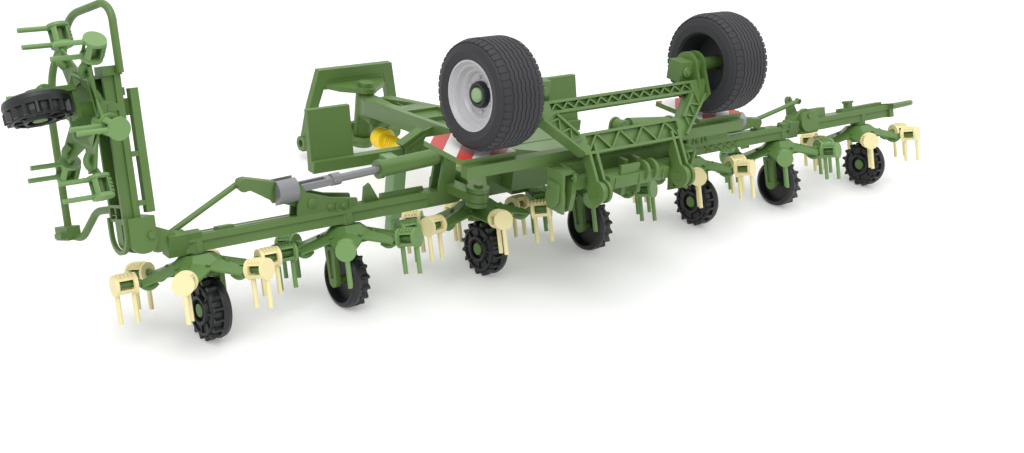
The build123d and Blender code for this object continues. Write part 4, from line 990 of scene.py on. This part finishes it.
@dataclass(frozen=True)
class RotorSpot:
    """Where one rotor and its castor wheel stand."""

    letter: str
    places: float
    arm_angle: float
    lug_side: int
    castor: float = 0.0
    folded: bool = False
    wheel_height: float = 12.4
    hinge_x: float = -192.3
    hinge_up: float = 17.9

    @property
    def finish(self) -> PlasticFinish:
        """What the rotor's tines are moulded in."""
        return TINE_CREAM if self.letter in CREAM_ROTORS else TINE_GREEN

    def base(self) -> Matrix:
        """Turn of the whole rotor at rest.

        Returns:
            The turn that stands the left tip up about its hinge, or no turn.
        """
        if not self.folded:
            return Matrix.Identity(4)
        hinge = leaning_frame(self.hinge_x, 0.0, self.hinge_up)
        return hinge @ turned_about("Y", 90.0) @ hinge.inverted()

    def middle(self) -> Matrix:
        """Frame at the rotor's middle, its third axis up the spindle."""
        return leaning_frame(self.places * ROTOR_PITCH)

    def rotor(self) -> Matrix:
        """Frame of the rotor with its first arm along the negative second axis."""
        return self.base() @ self.middle() @ turned_about("Z", self.arm_angle)

    def wheel(self) -> Matrix:
        """Frame at the castor wheel's middle, its third axis towards the lugs.

        Returns:
            The frame's matrix.
        """
        drop = (ROTOR_Z - self.wheel_height) * LEAN_SIN / LEAN_COS
        centre = Vector((self.places * ROTOR_PITCH, ROTOR_Y - drop, self.wheel_height))
        place = facing(centre, UP, self.lug_side * RIGHT)
        swing = self.middle() @ turned_about("Z", self.castor) @ self.middle().inverted()
        return self.base() @ swing @ place


ROTOR_SPOTS = (
    RotorSpot("a", -2.5, -35.8, -1),
    RotorSpot("b", -1.5, -33.3, 1),
    RotorSpot("c", -0.5, -17.4, -1),
    RotorSpot("d", 0.5, -40.1, 1),
    RotorSpot("e", 1.5, -39.2, -1),
    RotorSpot("f", 2.5, -44.3, 1),
    RotorSpot("g", 3.5, -41.5, -1),
    RotorSpot("h", -3.5, 12.7, 1, -15.0, True),
)


@dataclass
class RotorTrim:
    """Coil ribs of the tine holders, hub screws and the castor wheel's mouldings."""

    spot: RotorSpot
    arms: int = 6
    coil_places: tuple[float, ...] = (-31.9, -30.45, -29.0, -27.55)
    coil_radii: Pair = (3.4, 4.5)
    coil_width: float = 0.8
    coil_arc: Pair = (-134.0, 88.0)
    coil_steps: int = 10
    coil_smooth: float = 50.0
    screw_circle: float = 11.6
    screw_up: float = 2.9
    screw_lean: float = 38.0
    spokes: int = 8
    spoke_start: float = 11.0
    spoke_middle: float = 7.7
    hub_bead: tuple[Pair, ...] = ((1.8, 4.55), (2.3, 4.75), (2.45, 5.2), (2.3, 5.65), (1.8, 5.85))
    rim_bead: tuple[Pair, ...] = ((0.8, 8.9), (1.5, 9.1), (1.75, 9.6), (1.5, 10.1), (1.1, 10.2))

    def arm(self, number: float) -> Matrix:
        """Frame of the rotor turned to one of its arms.

        Args:
            number: The arm's number, or a half more for the gap after it.

        Returns:
            The frame's matrix.
        """
        return self.spot.rotor() @ turned_about("Z", 360.0 / self.arms * number)

    def coils(self) -> None:
        """Wind the ribs over each holder's rear and top."""
        shape = Moulding()
        for number in range(self.arms):
            holder = self.arm(number) @ facing(Vector(), RIGHT, AHEAD)
            for place in self.coil_places:
                shape.arc_rib(
                    holder @ moved(0, 0, place), self.coil_radii, self.coil_width,
                    self.coil_arc, self.coil_steps
                )
        letter = self.spot.letter
        shape.finish(
            f"coil_ribs_{letter}", self.spot.finish, f"rotor_{letter}", self.coil_smooth
        )

    def screws(self) -> None:
        """Set a small screw between the roots of the arms."""
        shape = Moulding()
        for number in range(self.arms):
            place = self.arm(number + 0.5) @ moved(0, -self.screw_circle, self.screw_up)
            shape.rod(place @ turned_about("X", self.screw_lean), 0.9, 1.0, 0.75, 16)
        letter = self.spot.letter
        shape.finish(f"hub_screws_{letter}", ROTOR_GREEN, f"rotor_{letter}")

    def wheel_mouldings(self) -> None:
        """Raise the hub's bead, the rim's bead and the spokes on the lug side."""
        shape = Moulding()
        wheel = self.spot.wheel()
        shape.turned(self.hub_bead, wheel, 40)
        shape.turned(self.rim_bead, wheel, 40)
        for spoke in range(self.spokes):
            around = wheel @ turned_about("Z", 360.0 / self.spokes * spoke + self.spoke_start)
            shape.block(around @ moved(self.spoke_middle, 0, 1.2), (3.2, 0.8, 1.0), 0.15, 1)
        letter = self.spot.letter
        shape.finish(f"wheel_mouldings_{letter}", WHEEL_BLACK, f"wheel_{letter}")

    def build(self) -> None:
        """Build all of this rotor's trim."""
        self.coils()
        self.screws()
        self.wheel_mouldings()


@dataclass
class WingTrim(SidedTrim):
    """Pads, ribs, bosses and the toothed strip of one wing."""

    crank_x: float = 121.5
    crank_z: float = 46.8
    bracket_faces: Pair = (-1.35, 6.35)
    root_faces: Pair = (-1.5, 5.55)
    latch_offsets: Pair = (-9.0, -15.5)
    beam_top: float = 14.5
    pad_x: float = 158.4
    pad_size: Triple = (7.0, 4.6, 1.5)
    grooves: Pair = (-1.6, 6.9)
    groove_x: float = 120.5
    groove_size: Triple = (112.0, 0.55, 0.45)
    strip_x: float = 72.5
    strip_size: Triple = (22.0, 2.6, 2.2)
    teeth: int = 17
    tooth_pitch: float = 1.3
    cross_count: int = 4
    cross_start: float = 112.0
    cross_length: float = 6.2
    cross_heights: Pair = (8.3, 11.6)

    def bosses(self) -> None:
        """Add the pivot screw heads and the small latch mouldings on the bracket plates."""
        shape = Moulding()
        near, far = self.latch_offsets
        on_bracket = ((self.crank_x, self.crank_z, 2.3), (self.crank_x + near, 43.6, 1.5),
                      (self.crank_x + far, 43.0, 1.5))
        for look, bracket_y, root_y in zip((-1, 1), self.bracket_faces, self.root_faces):
            places = [(place, bracket_y) for place in on_bracket] + [((52.0, 57.0, 2.2), root_y)]
            for (along, up, radius), face_y in places:
                face = facing(Vector((self.side * along, face_y, up)), UP, look * AHEAD)
                shape.rod(face, radius, 0.75, radius - 0.25, 24, 0.12)
                shape.rod(face @ moved(0, 0, 0.7), radius * 0.45, 0.35, radius * 0.38, 6)
        for offset in self.latch_offsets:
            place = moved(self.side * (self.crank_x + offset - 3.0), -1.65, 43.4)
            shape.block(place, (1.0, 0.7, 3.6), 0.12, 1)
        shape.finish(f"{self.word}_bracket_bosses", BODY_GREEN, f"{self.word}_wing")

    def roof(self) -> None:
        """Add the pad, the beads and the toothed strip on the beam's roof."""
        shape = Moulding()
        pad = leaning_frame(self.side * self.pad_x, 1.4, self.beam_top + 0.55)
        shape.block(pad, self.pad_size, 0.35)
        for groove in self.grooves:
            bead = leaning_frame(self.side * self.groove_x, groove, self.beam_top + 0.05)
            shape.block(bead, self.groove_size, 0.12, 1)
        foot = leaning_frame(self.side * self.strip_x, 1.6, self.beam_top - 0.1)
        shape.block(foot @ moved(0, 0, 1.0), self.strip_size, 0.25)
        for tooth in range(self.teeth):
            place = foot @ moved(-10.4 + self.tooth_pitch * tooth, 0, 2.25)
            shape.block(place, (0.7, 2.4, 0.9), 0.1, 1)
        shape.finish(f"{self.word}_roof_pads", BODY_GREEN, f"{self.word}_wing")

    def rear_ribs(self) -> None:
        """Add the crossed ribs in the channel's rear face."""
        shape = Moulding()
        face = leaning_frame(0.0, -3.5) @ turned_about("X", 90.0)
        low, high = self.cross_heights
        for cell in range(self.cross_count):
            start = self.cross_start + self.cross_length * cell
            end = start + self.cross_length
            shape.bar(face, (start, low), (end, high), 0.55, -0.1, 0.45)
            shape.bar(face, (start, high), (end, low), 0.55, -0.1, 0.45)
        shape.finish(f"{self.word}_rear_ribs", BODY_GREEN, f"{self.word}_wing")

    def build(self) -> None:
        """Build all of the wing's trim; only the right one has crossed ribs."""
        self.bosses()
        self.roof()
        if self.side > 0:
            self.rear_ribs()


@dataclass(frozen=True)
class SoftLamp:
    """One soft area lamp, its place and size in metres and its power in watts."""

    name: str
    place: Triple
    size: float
    power: float

    def hang(self, target: Vector) -> None:
        """Hang the lamp and aim it.

        Args:
            target: What it is aimed at, in metres.
        """
        data = bpy.data.lights.new(self.name, "AREA")
        data.shape = "SQUARE"
        data.size = self.size
        data.energy = self.power
        place = Vector(self.place)
        turn = (target - place).to_track_quat("-Z", "Y").to_matrix().to_4x4()
        stand(self.name, data).matrix_world = Matrix.Translation(place) @ turn


@dataclass
class Studio:
    """Pale floor, even soft light and the camera at the photograph's view."""

    floor_half: float = 6.0
    floor_grey: float = 0.74
    floor_glow: float = 0.24
    room_light: float = 0.68
    lamps: tuple[SoftLamp, ...] = (
        SoftLamp("key lamp", (-0.9, -0.9, 1.5), 1.2, 18.0),
        SoftLamp("fill lamp", (1.2, -0.7, 1.1), 1.4, 7.0),
        SoftLamp("top lamp", (0.0, 0.2, 1.8), 1.6, 12.0),
    )
    lens: float = 49.82
    camera_place: Triple = (-413.77, -457.75, 263.19)
    heading: float = 41.349
    pitch_down: float = 22.054
    roll: float = 6.247

    def floor(self) -> bpy.types.Object:
        """Lay the floor plane.

        Returns:
            The floor object.
        """
        shape = bmesh.new()
        bmesh.ops.create_grid(shape, x_segments=1, y_segments=1, size=self.floor_half)
        bmesh.ops.translate(shape, verts=shape.verts, vec=Vector((0.0, 0.0, FLOOR_LEVEL)))
        mesh = bpy.data.meshes.new("floor")
        shape.to_mesh(mesh)
        shape.free()
        recipe = Recipe("pale floor")
        recipe.set(
            Base_Color=(self.floor_grey, self.floor_grey, self.floor_grey, 1.0),
            Emission_Color=(1.0, 1.0, 1.0, 1.0), Emission_Strength=self.floor_glow,
            Roughness=0.9, Specular_IOR_Level=0.0
        )
        recipe.bump(recipe.noise(4.0), 0.01)
        mesh.materials.append(recipe.material)
        return stand("floor", mesh)

    def world(self) -> None:
        """Set a pale even surrounding that shows white to the camera and in reflections."""
        world = bpy.data.worlds.new("pale room")
        bpy.context.scene.world = world
        world.use_nodes = True
        nodes, links = world.node_tree.nodes, world.node_tree.links
        background = nodes["Background"]
        background.inputs["Color"].default_value = (1.0, 1.0, 0.99, 1.0)
        paths = nodes.new("ShaderNodeLightPath")
        seen = nodes.new("ShaderNodeMath")
        seen.operation = "MAXIMUM"
        links.new(paths.outputs["Is Camera Ray"], seen.inputs[0])
        links.new(paths.outputs["Is Glossy Ray"], seen.inputs[1])
        level = nodes.new("ShaderNodeMapRange")
        level.inputs["To Min"].default_value = self.room_light
        level.inputs["To Max"].default_value = 1.0
        links.new(seen.outputs["Value"], level.inputs["Value"])
        links.new(level.outputs["Result"], background.inputs["Strength"])

    def camera(self) -> None:
        """Stand the camera where the photograph was taken from."""
        data = bpy.data.cameras.new("view camera")
        data.lens = self.lens
        data.sensor_width = 36.0
        data.clip_start = 0.01
        data.clip_end = 50.0
        heading = math.radians(self.heading)
        down, roll = math.radians(self.pitch_down), math.radians(self.roll)
        across = Vector((math.cos(heading), -math.sin(heading), 0.0))
        ahead = Vector((
            math.sin(heading) * math.cos(down), math.cos(heading) * math.cos(down), -math.sin(down)
        ))
        upward = across.cross(ahead)
        right = across * math.cos(roll) + upward * math.sin(roll)
        camera = stand("view camera", data)
        camera.matrix_world = facing(spot(*self.camera_place), right, -ahead)
        bpy.context.scene.camera = camera

    def build(self) -> None:
        """Set the floor, the surroundings, the lamps and the camera."""
        self.floor()
        self.world()
        for lamp in self.lamps:
            lamp.hang(spot(0.0, 0.0, 40.0))
        self.camera()
        log.info("studio is set")


def write_size() -> None:
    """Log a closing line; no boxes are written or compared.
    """
    log.info("boxes written")


def main() -> None:
    """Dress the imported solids, add the trim and set the studio."""
    logging.basicConfig(level=logging.INFO, format="%(name)s: %(message)s")
    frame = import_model()
    CadDress().dress(frame["nodes"])
    for side in SIDES:
        BigWheelTrim(side).build()
        WingTrim(side).build()
    ChassisTrim().build()
    FrameTrim().build(frame["nodes"])
    for rotor_spot in ROTOR_SPOTS:
        RotorTrim(rotor_spot).build()
    Studio().build()
    bpy.context.scene.view_settings.view_transform = "Standard"
    write_size()


if __name__ == "__main__":
    main()
